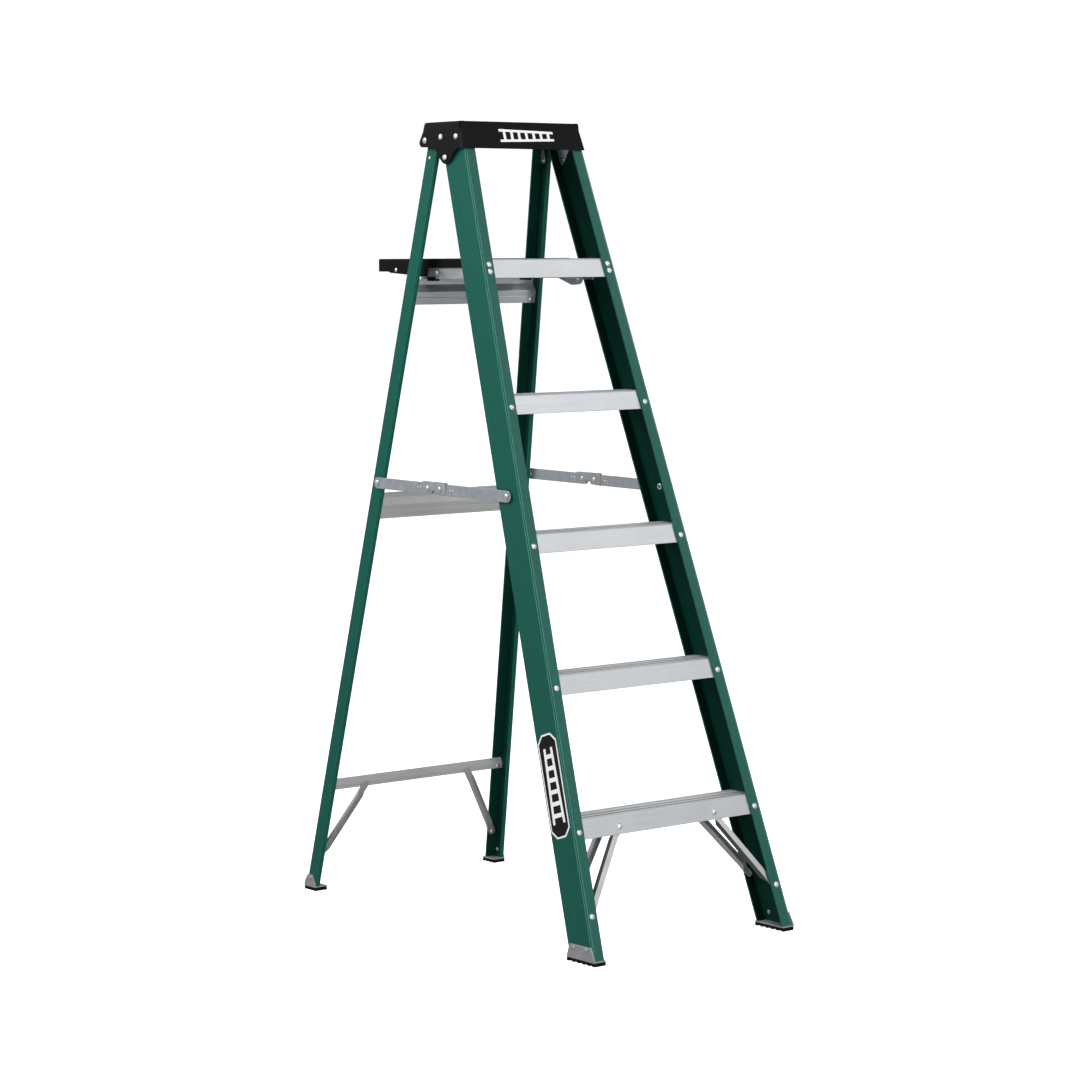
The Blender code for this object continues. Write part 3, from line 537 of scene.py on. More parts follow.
# ---- rails
def channel(depth, near_flange, far_flange, wall):
    """Rounded channel section with x = 0 on the web's outer face, and the material of each side.

    Two fine beads run beside the near corner. The materials are 0 for the web, 1 inside, 2 on the beads, 3
    on the near flange and 4 on the far flange's inner face; the rails' lists give 1 and 4 painted shade, 2
    a painted highlight, and 3 in front a painted sheen.
    """
    bead = 0.0005
    first, last = BEAD_OFFSET - bead, BEAD_OFFSET + bead
    corners = [
        (-near_flange, 0.0),
        (-last, 0.0),
        (-BEAD_OFFSET, -bead),
        (-first, 0.0),
        (0.0, 0.0),
        (0.0, first),
        (bead, BEAD_OFFSET),
        (0.0, last),
        (0.0, depth),
        (-far_flange, depth),
        (-far_flange, depth - wall),
        (-wall, depth - wall),
        (-wall, wall),
        (-near_flange, wall),
    ]
    tip = wall * 0.42
    fillet = 0.0022
    far_fillet = 0.0030
    points = rounded(corners, [tip, 0, 0, 0, fillet, 0, 0, 0, far_fillet, tip, tip, fillet, fillet, tip])
    marks = []
    for i, (x, y) in enumerate(points):
        next_x, next_y = points[(i + 1) % len(points)]
        mid_x, mid_y = (x + next_x) / 2, (y + next_y) / 2
        on_bead = mid_y < -bead * 0.2 or mid_x > bead * 0.2
        inside = mid_x < -wall * 0.95 and wall * 0.95 < mid_y < depth - wall * 0.95
        # The far flange's inner face takes the deeper painted shade in the front rails' list.
        deep = mid_x < -wall * 1.1 and depth - wall * 1.1 < mid_y < depth - wall * 0.95
        on_face = mid_y < wall * 0.3 and mid_x < -wall * 0.3
        marks.append(2 if on_bead else 3 if on_face else 4 if deep else int(inside))
    return points, marks


def level_ring(outline, frame_matrix, height):
    """The outline, run along the frame's Z until it lies in a level plane."""
    row = frame_matrix[2]
    ring = []
    for x, y in outline:
        z = (height - row[3] - row[0] * x - row[1] * y) / row[2]
        ring.append((x, y, z))
    return ring


def front_rail_frame(side):
    return rail_frame(FRONT_FRAME, side, FRONT_HALF, FRONT_TAPER)


def rear_rail_frame(side):
    return rail_frame(REAR_FRAME, side, REAR_HALF, REAR_TAPER)


def build_rail(side_name, rear):
    side = SIDES[side_name]
    if rear:
        place, greens, matrix = "rear", REAR_GREENS, rear_rail_frame(side)
        points, marks = channel(REAR_DEPTH, REAR_FRONT_FLANGE, REAR_BACK_FLANGE, REAR_WALL)
        points = [(x, y - REAR_DEPTH) for x, y in points]
    else:
        place, greens, matrix = "front", FRONT_GREENS, front_rail_frame(side)
        points, marks = channel(FRONT_DEPTH, FRONT_FLANGE, FRONT_FLANGE, FRONT_WALL)
    node = f"{place}_rail_{side_name}"
    low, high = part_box(node)
    outline = [(side * x, y) for x, y in points]
    rings = [level_ring(outline, matrix, low.z), level_ring(outline, matrix, high.z)]
    mesh = loft(rings, marks)
    add_piece(node + "_finished", mesh, greens, f"{place}_section", (node,), matrix)


def web_plane(rail, side, depth=0.0):
    """Plane in a rail's web at a depth below its outer face: local X is side * Y, Y runs up, Z outward."""
    axes = Matrix(((0, 0, side), (side, 0, 0), (0, 1, 0))).to_4x4()
    return rail @ Matrix.Translation((-side * depth, 0, 0)) @ axes


# ---- rivets
def rivet_profile(radius):
    """A button head on its seat, as (z, radius) stations."""
    height = radius * 0.52
    stations = [(0.0, radius * 0.97)]
    for i in range(7):
        angle = math.radians(8 + 76 * i / 6)
        stations.append((height * math.sin(angle), radius * math.cos(angle) * 0.99 + radius * 0.01))
    return stations


def rivets(name, body, places, radius=RIVET_HEAD, material=RIVET):
    """Button heads as one piece; each place is (point, outward direction), or has its own radius too."""
    work = bmesh.new()
    for place in places:
        point, out = place[:2]
        size = place[2] if len(place) > 2 else radius
        turned_into(work, rivet_profile(size), axes_frame(point, out, (0.31, 0.17, 0.93)))
    add_piece(name, to_mesh(work), [material], body, angle=50)


def front_point(x, s, t):
    return FRONT_FRAME @ Vector((x, t, s))


def rear_point(x, s, t):
    """t runs forward from the rear rails' back faces."""
    return REAR_FRAME @ Vector((x, -t, s))


FRONT_OUT = FRONT_FRAME.to_3x3() @ Vector((0, -1, 0))
REAR_AHEAD = REAR_FRAME.to_3x3() @ Vector((0, -1, 0))


def web_point(rail, side, world_y, world_z, depth):
    """The point of a rail's web at a world height and depth, set back from its outer face."""
    x = side * 0.25
    for _ in range(4):
        local = rail.inverted() @ Vector((x, world_y, world_z))
        local.x = -side * depth
        x = (rail @ local).x
    return rail @ local


def web_outward(rail, side):
    return rail.to_3x3() @ Vector((side, 0, 0))


def build_foot_rivets():
    """Rivets of the foot brackets, through plate and web."""
    feet = (
        ("front", front_rail_frame, FRONT_FOOT_RIVETS, FRONT_WALL),
        ("rear", rear_rail_frame, (REAR_FOOT_RIVET,), REAR_WALL),
    )
    for place, rail_of, stations, wall in feet:
        places = []
        for side in SIDES.values():
            rail = rail_of(side)
            outward = web_outward(rail, side)
            for y, z in stations:
                places.append((web_point(rail, side, y, z, -FOOT_PLATE), outward))
                places.append((web_point(rail, side, y, z, wall), -outward))
        rivets(f"{place}_foot_rivets", f"{place}_section", places, FOOT_HEAD, BRACKET_ZINC)


def build_front_rivets():
    """Rivets of the steps, the struts under the lowest step, and the cap."""
    places = []
    for side in SIDES.values():
        rail = front_rail_frame(side)
        outward = web_outward(rail, side)
        for index in range(1, STEP_COUNT + 1):
            drops = TOP_STEP_RIVET_DROPS if index == STEP_COUNT else STEP_RIVET_DROPS
            for drop in drops:
                s = STEP_PITCH * index - drop
                x = side * (front_half(s) - STEP_RIVET_INSET)
                places.append((front_point(x, s, 0.0), FRONT_OUT))
                places.append((front_point(x, s + BACK_RIVET_RISE, FRONT_DEPTH), -FRONT_OUT))
        x, s = STEP_STRUT_RIVET
        places.append((front_point(side * x, s, STEP_SETBACK), FRONT_OUT))
        x, s = FRONT_STRUT_RIVET
        places.append((front_point(side * x, s, 0.0), FRONT_OUT))
        for x, s in BACK_STRUT_RIVETS:
            places.append((front_point(side * x, s, FRONT_DEPTH), -FRONT_OUT))
        for y, z in CAP_RIVETS:
            places.append(((side * cap_half(z), y, z), (side, 0, CAP_SIDE_SLOPE)))
        y, z = CAP_RIVETS[-1]
        inner_face = FRONT_WALL + BACKING_SHEET
        places.append((web_point(rail, side, y, z, inner_face), -outward, SMALL_HEAD))
    rivets("front_rivets", "front_section", places)


def build_rear_rivets():
    """Rivets of the cross bars, the struts under the lowest of them, and the hinge straps."""
    places = []
    for side_name, side in SIDES.items():
        rail = rear_rail_frame(side)
        outward = web_outward(rail, side)
        for s, inward, face in CROSS_BAR_RIVETS:
            x = side * (rear_half(s) - inward)
            places.append((rear_point(x, s, face), REAR_AHEAD, BAR_HEAD))
            places.append((rear_point(x, s, 0.0), -REAR_AHEAD, BAR_HEAD))
        x, s = REAR_STRUT_RIVET
        places.append((rear_point(side * x, s, 0.0), -REAR_AHEAD))
        places.append((rear_point(side * x, s, REAR_WALL + REAR_STRUT_SHEET), REAR_AHEAD, FOOT_HEAD))
        hinge_low, hinge_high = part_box(f"rear_hinge_rivet_{side_name}")
        hinge = rail.inverted() @ ((hinge_low + hinge_high) / 2)
        strap_foot = (-STRAP_RIVET_SETBACK, hinge.z - STRAP_RIVET_DROP)
        inner_face = -side * (REAR_WALL + STRAP_SHEET)
        places.append((rail @ Vector((0, *strap_foot)), outward, STRAP_OUTER_HEAD))
        places.append((rail @ Vector((inner_face, *strap_foot)), -outward, STRAP_INNER_HEAD))
    rivets("rear_rivets", "rear_section", places)


def build_shelf_rivets():
    """Rivets of the shelf's skirt behind the rear rails, and of its arms."""
    places = []
    for side in SIDES.values():
        out = (side, 0, 0)
        places.append(((side * SHELF_HALF, *SHELF_SIDE_RIVET), out, SHELF_SIDE_HEAD))
        places.append(((side * SHELF_ARM_X, *SHELF_ARM_RIVET), out, BAR_HEAD))
    rivets("shelf_rivets", "pail_shelf", places)


def build_spreader_dimples():
    """Pairs of small set marks on both faces of the spreader bars, beside the saddles."""
    dimple = 0.0021
    half_gap = 0.005
    for side_name, side in SIDES.items():
        for part, share in (("front", 0.80), ("rear", 0.22)):
            low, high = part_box(f"spreader_{part}_arm_{side_name}")
            outer, inner = (high.x, low.x) if side > 0 else (low.x, high.x)
            centre_z = (low.z + high.z) / 2
            places = []
            for shift in (-half_gap, half_gap):
                y = low.y + (high.y - low.y) * share + shift
                places.append(((outer, y, centre_z), (side, 0, 0), dimple))
                places.append(((inner, y, centre_z), (-side, 0, 0), dimple))
            rivets(f"spreader_{part}_dimples_{side_name}", f"spreader_{part}_{side_name}", places)


def rail_reach(node):
    """Outer half width of the ladder's front section at a pin."""
    low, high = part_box(node)
    return front_half((FRONT_FRAME.inverted() @ ((low + high) / 2)).z)


def build_pins():
    """The through pins of the hinges, with domed heads at both ends."""
    dome = 0.0024
    head_shape = ((0.0, 0.30), (0.12, 0.62), (0.4, 0.88), (0.8, 1.0), (1.0, 0.96))
    thickest_shank = 0.0039
    eyelet_gap = 0.0006
    pins = []
    for kind in ("rear_hinge_rivet", "spreader_front_rivet", "shelf_pivot_pin"):
        pins += [(f"{kind}_{name}", "front_section") for name in SIDES]
    pins += [(f"spreader_rear_rivet_{name}", f"spreader_rear_{name}") for name in SIDES]
    for end in ("front", "rear"):
        pins += [(f"spreader_link_pin_{end}_{name}", f"spreader_link_{name}") for name in SIDES]
    for node, body in pins:
        low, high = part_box(node)
        if node.startswith("spreader_front_rivet"):
            reach = rail_reach(node) - FRONT_WALL - eyelet_gap
            low.x, high.x = (low.x, -reach) if low.x < 0 else (reach, high.x)
        length = high.x - low.x
        head = min((high.z - low.z) / 2, RIVET_HEAD)
        shank = min(thickest_shank, head * 0.7)
        near = [(dome * z, head * radius) for z, radius in head_shape] + [(dome, shank)]
        profile = near + [(length - z, radius) for z, radius in reversed(near)]
        work = bmesh.new()
        centre = (low.x, (low.y + high.y) / 2, (low.z + high.z) / 2)
        turned_into(work, profile, axes_frame(centre, (1, 0, 0), (0, 0, 1)))
        add_piece(node + "_finished", to_mesh(work), [RIVET], body, (node,), angle=55)


def build_eyelets():
    """Tubular ends of the spreader pivots on the inner faces of the front webs."""
    rings = bmesh.new()
    bore_shades = bmesh.new()
    bore = 0.0034
    rolled_lip = [(0.0, 0.0070), (0.0008, 0.0072), (0.0016, 0.0066)]
    rolled_lip += [(0.0020, 0.0052), (0.0016, 0.0038), (0.0007, bore)]
    low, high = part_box("spreader_front_rivet_right")
    centre = (low + high) / 2
    for side in SIDES.values():
        rail = front_rail_frame(side)
        inward = -web_outward(rail, side)
        seat = axes_frame(web_point(rail, side, centre.y, centre.z, FRONT_WALL), inward, (0, 0, 1))
        turned_into(rings, rolled_lip, seat)
        # A dark sleeve inside each eyelet's bore: painted shade.
        turned_into(bore_shades, [(0.0004, bore), (0.0009, bore)], seat)
    add_piece("spreader_eyelets", to_mesh(rings), [RIVET], "front_section", angle=50)
    add_piece("spreader_eyelet_bore_shade", to_mesh(bore_shades), [PAINTED_SHADE_STEEL], "front_section")


# ---- cap
def cap_half(z):
    """Outer half width of the cap's side at a height."""
    share = (z - CAP_SKIRT) / (CAP_TOP - CAP_SKIRT)
    return CAP_HALF_SKIRT + (CAP_HALF_TOP - CAP_HALF_SKIRT) * share


def smooth_step(value):
    t = max(0.0, min(1.0, value))
    return t * t * (3 - 2 * t)


def cap_edge(x, y):
    """Height of the cap's lower edge: an ear half way along each side, and a raised rear."""
    edge = CAP_SKIRT + CAP_EDGE_RISE * (y - CAP_FRONT_Y)
    edge += CAP_REAR_LIFT * smooth_step((y - (CAP_REAR_Y - 0.024)) / 0.022)
    if abs(x) < CAP_HALF_SKIRT - 0.012:
        return edge
    offset = y - CAP_EAR_Y
    reach = EAR_REACH_FRONT if offset < 0 else EAR_REACH_REAR
    share = min(1.0, abs(offset) / reach)
    bell = (0.5 + 0.5 * math.cos(math.pi * share)) ** 0.86
    return edge - (edge - CAP_EAR_TIP) * bell


def cap_ring(z, inset):
    """The cap's outline at a height; z None puts every point on the lower edge."""
    level = CAP_SKIRT if z is None else z
    half = cap_half(level) - inset
    front = CAP_FRONT_Y + (level - CAP_SKIRT) * math.tan(FRONT_LEAN) + inset
    rear = CAP_REAR_Y - (level - CAP_SKIRT) * math.tan(REAR_LEAN) - inset
    front_corner = max(0.0075 - inset * 0.8, 0.002)
    rear_corner = max(0.0215 - inset * 0.9, 0.006)
    ear_width = EAR_REACH_FRONT + EAR_REACH_REAR
    stations = [CAP_EAR_Y - EAR_REACH_FRONT + ear_width * i / 30 for i in range(31)]
    right = arc((half - front_corner, front + front_corner), front_corner, -90, 0, 6)
    right += [(half, y) for y in stations]
    right += arc((half - rear_corner, rear - rear_corner), rear_corner, 0, 90, 10)
    outline = right + [(-x, y) for x, y in reversed(right)]
    return [(x, y, cap_edge(x, y) if z is None else z) for x, y in outline]


def build_cap():
    """The moulded cap with its rolled rim and sunken top, and the ribs under it."""
    ceiling = CAP_TOP - CAP_WALL
    roll = 0.0042
    lip = [(x, y, z - 0.0004) for x, y, z in cap_ring(None, 0.0006)]
    rings = [cap_ring(ceiling, CAP_WALL), cap_ring(None, CAP_WALL), lip, cap_ring(None, 0.0)]
    rings.append(cap_ring(CAP_TOP - 0.020, 0.0))
    for i in range(6):
        angle = math.radians(90 * i / 5)
        rings.append(cap_ring(CAP_TOP - roll * (1 - math.sin(angle)), roll * (1 - math.cos(angle))))
    for drop, inset in ((0.0, 0.0110), (0.0004, 0.0118), (0.0016, 0.0130), (CAP_DECK_DROP, 0.0140)):
        rings.append(cap_ring(CAP_TOP - drop, inset))
    add_piece("top_cap_moulding", loft(rings), [BLACK], "front_section", ("top_cap",))

    work = bmesh.new()
    front = CAP_FRONT_Y + 0.030
    rear = CAP_REAR_Y - 0.020
    for x in (-0.090, -0.045, 0.0, 0.045, 0.090):
        outline = rectangle(front, rear, ceiling - 0.024, ceiling)
        plate_into(work, outline, CAP_RIB, side_frame(x - CAP_RIB / 2), edge=0.0005)
    middle = (front + rear) / 2
    outline = rectangle(-0.105, 0.105, ceiling - 0.018, ceiling)
    plate_into(work, outline, CAP_RIB, cross_frame(middle), edge=0.0005)
    add_piece("top_cap_ribs", to_mesh(work), [BLACK], "front_section")

    work = bmesh.new()
    grip = stadium((-0.008, 0), (0.008, 0), 0.0016)
    for row in (0.035, -0.035):
        for i in range(-4, 5):
            seat = Matrix.Translation((i * 0.030, middle + row, CAP_TOP - CAP_DECK_DROP))
            plate_into(work, grip, 0.0010, seat, edge=0.0004)
    add_piece("top_cap_grips", to_mesh(work), [BLACK], "front_section")


def ladder_symbol(work, length, foot, top, bar, rung_count, place):
    """A plain ladder sign along local X: two bars that draw together, and the rungs between them."""
    depth = 0.00025
    for side in (-1, 1):
        outer = [(-length / 2, side * foot / 2), (length / 2, side * top / 2)]
        inner = [(length / 2, side * (top / 2 - bar)), (-length / 2, side * (foot / 2 - bar))]
        outline = outer + inner if side < 0 else (outer + inner)[::-1]
        plate_into(work, outline, depth, place, edge=0)
    for i in range(rung_count):
        x = length * ((i + 0.7) / (rung_count + 0.4) - 0.5)
        half = (foot + (top - foot) * (x / length + 0.5)) / 2 - bar
        width = bar * 0.62
        plate_into(work, rectangle(x - width, x + width, -half, half), depth, place, edge=0)


def build_cap_mark():
    """White ladder sign on the cap's sloping front."""
    sine, cosine = math.sin(FRONT_LEAN), math.cos(FRONT_LEAN)
    axes = Matrix(((1, 0, 0), (0, sine, -cosine), (0, cosine, sine))).to_4x4()
    x, drop = 0.010, 0.001        # off the middle of the cap's front
    middle = (CAP_SKIRT + CAP_TOP) / 2 - drop
    y = CAP_FRONT_Y + (middle - CAP_SKIRT) * math.tan(FRONT_LEAN)
    place = Matrix.Translation((x, y, middle)) @ axes
    bar = 0.0056
    rung_count = 7
    work = bmesh.new()
    ladder_symbol(work, CAP_MARK_LENGTH, CAP_MARK_FOOT, CAP_MARK_TIP, bar, rung_count, place)
    add_piece("cap_mark", to_mesh(work), [INK_WHITE], "front_section")


def octagon(margin):
    """The label's outline, drawn in by a margin."""
    a = LABEL_LENGTH / 2 - margin
    b = LABEL_WIDTH / 2 - margin
    c = LABEL_CUT - margin * 0.4
    right_way_up = [(b, a - c), (b - c, a), (c - b, a), (-b, a - c)]
    return right_way_up + [(-x, -y) for x, y in right_way_up]


def build_label():
    """Eight-sided label on the left front web: white border, black field, white ladder sign."""
    sheet = 0.0002
    plane = web_plane(front_rail_frame(-1), -1) @ Matrix.Translation((-LABEL_SETBACK, LABEL_HEIGHT, 0.0))
    layers = (("label_border", 0.0, 0.0001, INK_WHITE), ("label_field", LABEL_BORDER, 0.0003, LABEL_BLACK))
    for name, margin, lift, material in layers:
        work = bmesh.new()
        plate_into(work, octagon(margin), sheet, plane @ Matrix.Translation((0, 0, lift)), edge=0)
        add_piece(name, to_mesh(work), [material], "front_section")
    length, foot, tip, bar = 0.160, 0.042, 0.030, 0.0072
    rung_count = 6
    place = plane @ Matrix.Translation((0, 0, 0.0005)) @ Matrix.Rotation(math.radians(90), 4, "Z")
    work = bmesh.new()
    ladder_symbol(work, length, foot, tip, bar, rung_count, place)
    add_piece("label_sign", to_mesh(work), [INK_WHITE], "front_section")


def build_backing_plates():
    """Steel plates behind the cap's ears, on the inner faces of the front webs."""
    for side_name, side in SIDES.items():
        rail = front_rail_frame(side)
        outline = []
        for y, z in EAR_BACKING:
            local = rail.inverted() @ web_point(rail, side, y, z, FRONT_WALL)
            outline.append((side * local.y, local.z))
        work = bmesh.new()
        plane = web_plane(rail, side, FRONT_WALL + BACKING_SHEET)
        plate_into(work, rounded(outline, 0.004), BACKING_SHEET - 0.0002, plane)
        add_piece(f"ear_backing_{side_name}", to_mesh(work), [ZINC], "front_section")


# ---- shelf
def shelf_edge(y):
    """Height of the skirt's lower edge: shallow in front, deepest behind the rear rails."""
    offset = y - SHELF_FRONT_Y
    if offset < SHELF_LIP_END:
        return SHELF_TOP - 0.006
    if offset < SHELF_STEP:
        return SHELF_TOP - 0.020
    if offset < SHELF_REAR_STEP:
        return SHELF_TOP - 0.0400 + 0.064 * (offset - SHELF_SLOPE_START)
    return SHELF_TOP - 0.0285


def shelf_ring(z, inset):
    """The shelf's outline at a height; z None puts every point on the skirt's lower edge."""
    half = SHELF_HALF - inset
    front = SHELF_FRONT_Y + inset
    rear = SHELF_REAR_Y - inset
    front_corner = max(0.006 - inset, 0.0015)
    rear_corner = max(0.016 - inset * 0.8, 0.004)
    stations = [0.020, 0.0240, 0.1670, 0.1710, 0.3060, 0.3150]
    right = arc((half - front_corner, front + front_corner), front_corner, -90, 0, 5)
    right += [(half, SHELF_FRONT_Y + offset) for offset in stations]
    right += arc((half - rear_corner, rear - rear_corner), rear_corner, 0, 90, 8)
    outline = right + [(-x, y) for x, y in reversed(right)]
    return [(x, y, shelf_edge(y) if z is None else z) for x, y in outline]


def build_shelf():
    """The moulded shelf with its skirt, the relief on its deck and the ribs under it."""
    wall = 0.0025
    roll = 0.0026
    rings = [shelf_ring(SHELF_TOP - 0.003, wall), shelf_ring(None, wall), shelf_ring(None, 0.0)]
    rings.append(shelf_ring(SHELF_TOP - 0.0055, 0.0))
    for i in range(5):
        angle = math.radians(90 * i / 4)
        rings.append(shelf_ring(SHELF_TOP - roll * (1 - math.sin(angle)), roll * (1 - math.cos(angle))))
    rings.append(shelf_ring(SHELF_TOP, 0.0085))
    deck = SHELF_TOP - SHELF_DECK_DROP
    rings.append(shelf_ring(deck, 0.0098))
    add_piece("pail_shelf_moulding", loft(rings), [BLACK], "pail_shelf", ("pail_shelf",))

    work = bmesh.new()
    relief = 0.0009
    centre_y = (SHELF_FRONT_Y + SHELF_REAR_Y) / 2
    ring = Matrix.Translation((0, centre_y, deck))
    for radius in (0.040, 0.078, 0.104):
        profile = [(-0.0018, 0.0), (-0.0010, relief), (0.0010, relief), (0.0018, 0.0)]
        profile = [(radius + offset, z) for offset, z in profile]
        loops = []
        for step in range(64):
            angle = math.tau * step / 64
            turn = Vector((math.cos(angle), math.sin(angle), 0))
            loops.append([work.verts.new(ring @ (turn * r + Vector((0, 0, z)))) for r, z in profile])
        for step in range(64):
            near, far = loops[step], loops[(step + 1) % 64]
            for i in range(len(profile)):
                j = (i + 1) % len(profile)
                work.faces.new((near[i], near[j], far[j], far[i]))
    grip = stadium((-0.014, 0), (0.014, 0), 0.0030)
    for x in (-0.112, -0.056, 0.0, 0.056, 0.112):
        for y in (SHELF_FRONT_Y + 0.030, SHELF_REAR_Y - 0.026):
            plate_into(work, grip, relief, Matrix.Translation((x, y, deck)), edge=0.0003)
    add_piece("pail_shelf_relief", to_mesh(work), [BLACK], "pail_shelf")

    work = bmesh.new()
    under = SHELF_TOP - 0.003
    front, rear = SHELF_FRONT_Y + 0.004, SHELF_REAR_Y - 0.004
    foot = under - 0.010
    outline = [(front, under - 0.003), (front + 0.03, foot), (rear, foot), (rear, under), (front, under)]
    for x in (-0.080, -0.040, 0.0, 0.040, 0.080):
        plate_into(work, outline, SHELF_RIB, side_frame(x - SHELF_RIB / 2), edge=0.0004)
    outline = rectangle(-0.126, 0.126, under - 0.008, under)
    for offset in (0.060, 0.120, 0.180, 0.240, 0.300):
        plate_into(work, outline, SHELF_RIB, cross_frame(SHELF_FRONT_Y + offset), edge=0.0004)
    add_piece("pail_shelf_ribs", to_mesh(work), [BLACK], "pail_shelf")


def build_shelf_rests():
    """Black rests that wrap the arms' lower edges, and a bent wire catch behind each."""
    wire = 0.0011                 # radius
    for side_name, side in SIDES.items():
        low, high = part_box(f"shelf_bumper_{side_name}")
        arm_low, arm_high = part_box(f"shelf_arm_{side_name}")
        inner = min(abs(low.x), abs(high.x))
        outer = max(abs(arm_low.x), abs(arm_high.x)) + 0.0014
        block = rectangle(low.y + 0.002, high.y - 0.004, high.z - 0.0110, high.z - 0.0020)
        work = bmesh.new()
        start = inner if side > 0 else -outer
        plate_into(work, rounded(block, 0.0016), outer - inner, side_frame(start), edge=0.0008)
        node = f"shelf_bumper_{side_name}"
        add_piece(node + "_finished", to_mesh(work), [RUBBER], "pail_shelf", (node,))

        x = side * (outer - 0.0010)
        back = high.y + 0.0185
        path = [
            (x, high.y - 0.006, low.z + 0.0065),
            (x, back - 0.003, low.z + 0.0060),
            (x, back, low.z + 0.0030),
            (x, back, low.z - 0.0080),
            (x - side * 0.004, back, low.z - 0.0110),
        ]
        rings = []
        for i, point in enumerate(path):
            ahead = Vector(path[min(i + 1, len(path) - 1)]) - Vector(path[max(i - 1, 0)])
            seat = axes_frame(point, ahead, (1, 0.2, 0.1))
            rings.append([seat @ Vector((a, b, 0)) for a, b in circle(wire, 10)])
        add_piece(f"shelf_catch_{side_name}", loft(rings), [RUBBER], "pail_shelf")


# ---- metal parts that keep their CAD shape
def finish_tread(step):
    """Gives a step's tread a lighter copy of the aluminium as painted light, and every third groove a dark
    copy as painted shade.
    """
    top = max(vertex.co.z for vertex in step.data.vertices)
    front = min(vertex.co.y for vertex in step.data.vertices if vertex.co.z > top - 0.0005)
    for face in step.data.polygons:
        centre = face.center
        on_tread = centre.z > top - TREAD_RIB * 1.6
        below_ribs = centre.z < top - TREAD_RIB * 0.2
        along = (centre.y - front) / TREAD_PITCH
        if on_tread and below_ribs and along > 0.3 and int(along) % 3 == 0:
            face.material_index = 1
        elif on_tread:
            face.material_index = 2


def build_strut(node, body, painted_side_shade):
    """A pressed strut: bright web and rolled edges; side walls and inner faces in a darker copy of the
    steel, as painted shade.
    """
    strut = softened_copy(node, [BRIGHT_STEEL, painted_side_shade], body, 0.0016, 3)
    strut.modifiers["edges"].material = 0
    mesh = strut.data
    widest = max(mesh.polygons, key=lambda face: face.area)
    facing = widest.normal.copy()
    web_skin = 0.0010
    outer = max(facing.dot(face.center) for face in mesh.polygons if facing.dot(face.normal) > 0.98)
    for face in mesh.polygons:
        on_web = facing.dot(face.normal) > 0.7 and facing.dot(face.center) > outer - web_skin
        face.material_index = 0 if on_web else 1


def soften_nodes():
    """Rolled edges for the sheet and extruded parts."""
    for index in range(1, STEP_COUNT + 1):
        finish = [ALUMINIUM, GROOVE_SHADE_ALUMINIUM, TREAD_LIT_ALUMINIUM]
        step = softened_copy(f"step_{index}", finish, "front_section", 0.0006)
        finish_tread(step)
    for bar, finish in (("bottom", DULL_ALUMINIUM), ("middle", DULL_ALUMINIUM), ("top", PLAIN_ALUMINIUM)):
        softened_copy(f"rear_horizontal_{bar}", [finish], "rear_section", 0.0005)
    for name in SIDES:
        for place in ("front", "rear"):
            body = f"{place}_section"
            painted_side_shade = PAINTED_SHADE_STEEL if place == "front" else HALF_SHADE_STEEL
            build_strut(f"step_brace_{place}_{name}", "front_section", painted_side_shade)
            softened_copy(f"{place}_foot_bracket_{name}", [BRACKET_ZINC], body, 0.0009)
            softened_copy(f"{place}_foot_tread_{name}", [RUBBER], body, 0.0007)
            arm_body = f"spreader_{place}_{name}"
            softened_copy(f"spreader_{place}_arm_{name}", [ZINC], arm_body, 0.0005)
        build_strut(f"rear_brace_{name}", "rear_section", HALF_SHADE_STEEL)
        softened_copy(f"rear_hinge_strap_{name}", [ZINC], "rear_section", 0.0006)
        softened_copy(f"spreader_link_{name}", [ZINC], f"spreader_link_{name}", 0.0004)
        softened_copy(f"shelf_arm_{name}", [ZINC], "pail_shelf", 0.0005)


# ---- stage
def add_stage_piece(name, mesh, glow):
    """A self-lit piece of the studio that the ladder neither mirrors nor takes light from."""
    piece = bpy.data.objects.new(name, mesh)
    bpy.context.scene.collection.objects.link(piece)
    material, nodes, links, surface = new_material(f"{name}_white")
    surface.inputs["Emission Color"].default_value = (1, 1, 1, 1)
    surface.inputs["Emission Strength"].default_value = glow
    mesh.materials.append(material)
    piece.visible_diffuse = False
    piece.visible_glossy = False
    return piece, nodes, links, surface


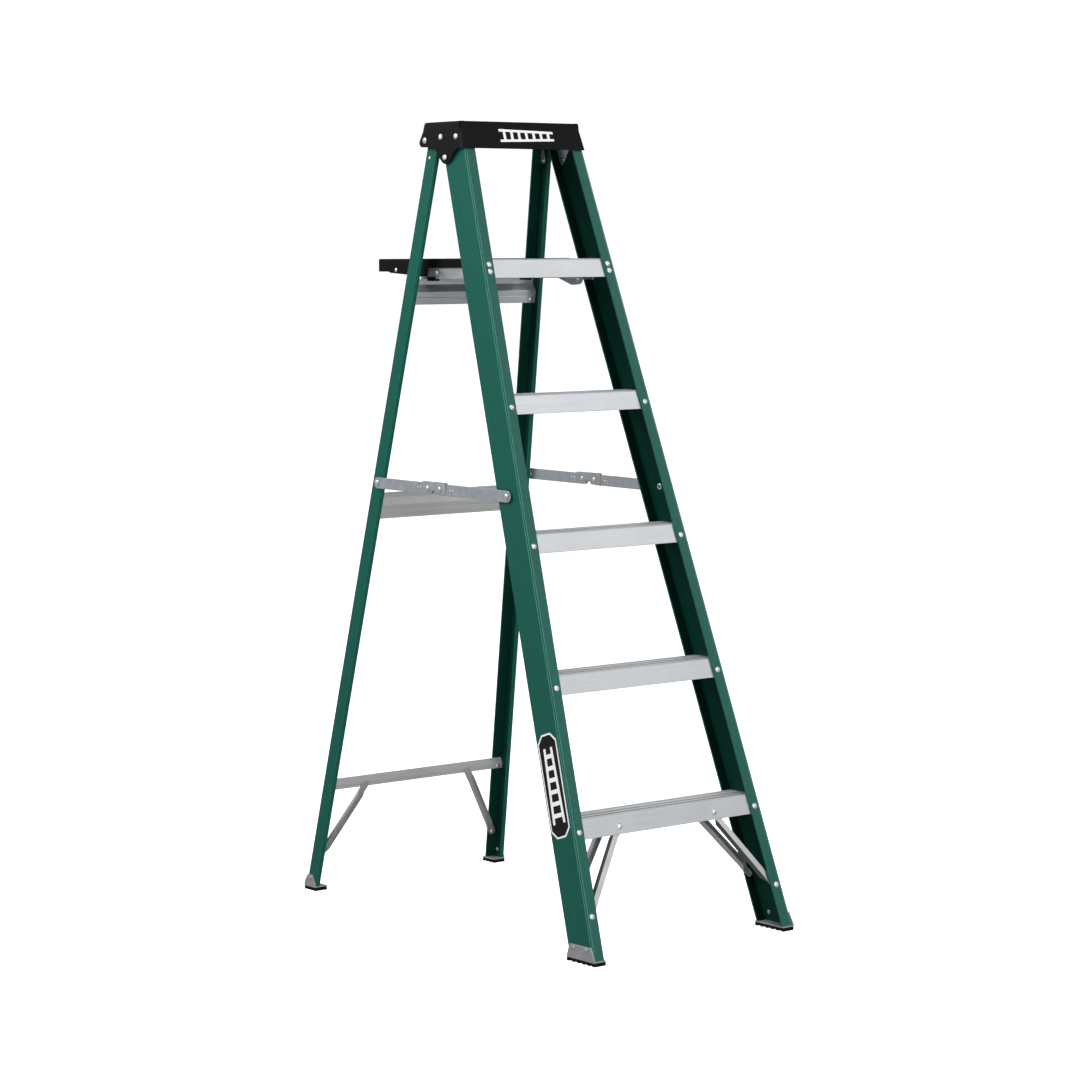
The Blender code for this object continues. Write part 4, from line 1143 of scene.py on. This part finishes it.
def build_stage():
    """A pale floor and a white backdrop, both lit from within so that no horizon shows."""
    reach = 40.0
    mesh = bpy.data.meshes.new("floor")
    corners = [(-reach, -reach, 0), (reach, -reach, 0), (reach, reach, 0), (-reach, reach, 0)]
    mesh.from_pydata(corners, [], [(0, 1, 2, 3)])
    floor, nodes, links, surface = add_stage_piece("floor", mesh, 1.0)
    links.new(ramp(nodes, links, noise(nodes, links, 3), 0.86, 0.90), surface.inputs["Base Color"])
    surface.inputs["Roughness"].default_value = 0.9
    surface.inputs["Specular IOR Level"].default_value = 0.1

    work = bmesh.new()
    bmesh.ops.create_uvsphere(work, u_segments=32, v_segments=16, radius=reach * 0.98)
    mesh = bpy.data.meshes.new("backdrop")
    work.to_mesh(mesh)
    work.free()
    dome, nodes, links, surface = add_stage_piece("backdrop", mesh, 1.05)
    surface.inputs["Base Color"].default_value = (0, 0, 0, 1)
    dome.visible_shadow = False


def build_lights():
    world = bpy.data.worlds.new("studio")
    bpy.context.scene.world = world
    world.use_nodes = True
    background = world.node_tree.nodes["Background"]
    background.inputs["Color"].default_value = (0.96, 0.98, 1.0, 1)
    background.inputs["Strength"].default_value = 0.34
    for name, position, target, size, power in SOFTBOXES:
        light = bpy.data.lights.new(name, "AREA")
        light.shape = "RECTANGLE"
        light.size, light.size_y = size
        light.energy = power
        lamp = bpy.data.objects.new(name, light)
        bpy.context.scene.collection.objects.link(lamp)
        lamp.location = position
        direction = Vector(target) - Vector(position)
        lamp.rotation_euler = direction.to_track_quat("-Z", "Y").to_euler()


def build_camera():
    azimuth, pitch, roll = (math.radians(v) for v in (CAMERA_AZIMUTH, CAMERA_PITCH, CAMERA_ROLL))
    back = Vector((
        math.sin(azimuth) * math.cos(pitch),
        -math.cos(azimuth) * math.cos(pitch),
        math.sin(pitch),
    ))
    right = Vector((0, 0, 1)).cross(back).normalized()
    up = back.cross(right)
    turned_right = right * math.cos(roll) + up * math.sin(roll)
    turned_up = up * math.cos(roll) - right * math.sin(roll)
    camera = bpy.data.cameras.new("camera")
    camera.lens = CAMERA_LENS
    camera.sensor_width = 36.0
    camera.clip_end = 200
    holder = bpy.data.objects.new("camera", camera)
    bpy.context.scene.collection.objects.link(holder)
    axes = Matrix((turned_right, turned_up, back)).transposed().to_4x4()
    holder.matrix_world = Matrix.Translation(CAMERA_POSITION) @ axes
    bpy.context.scene.camera = holder


# ---- scene
bpy.context.scene.view_settings.view_transform = "Standard"
for side_name in SIDES:
    build_rail(side_name, False)
    build_rail(side_name, True)
soften_nodes()
build_pins()
build_eyelets()
build_front_rivets()
build_rear_rivets()
build_foot_rivets()
build_shelf_rivets()
build_spreader_dimples()
build_cap()
build_cap_mark()
build_label()
build_backing_plates()
build_shelf()
build_shelf_rests()
build_stage()
build_lights()
build_camera()
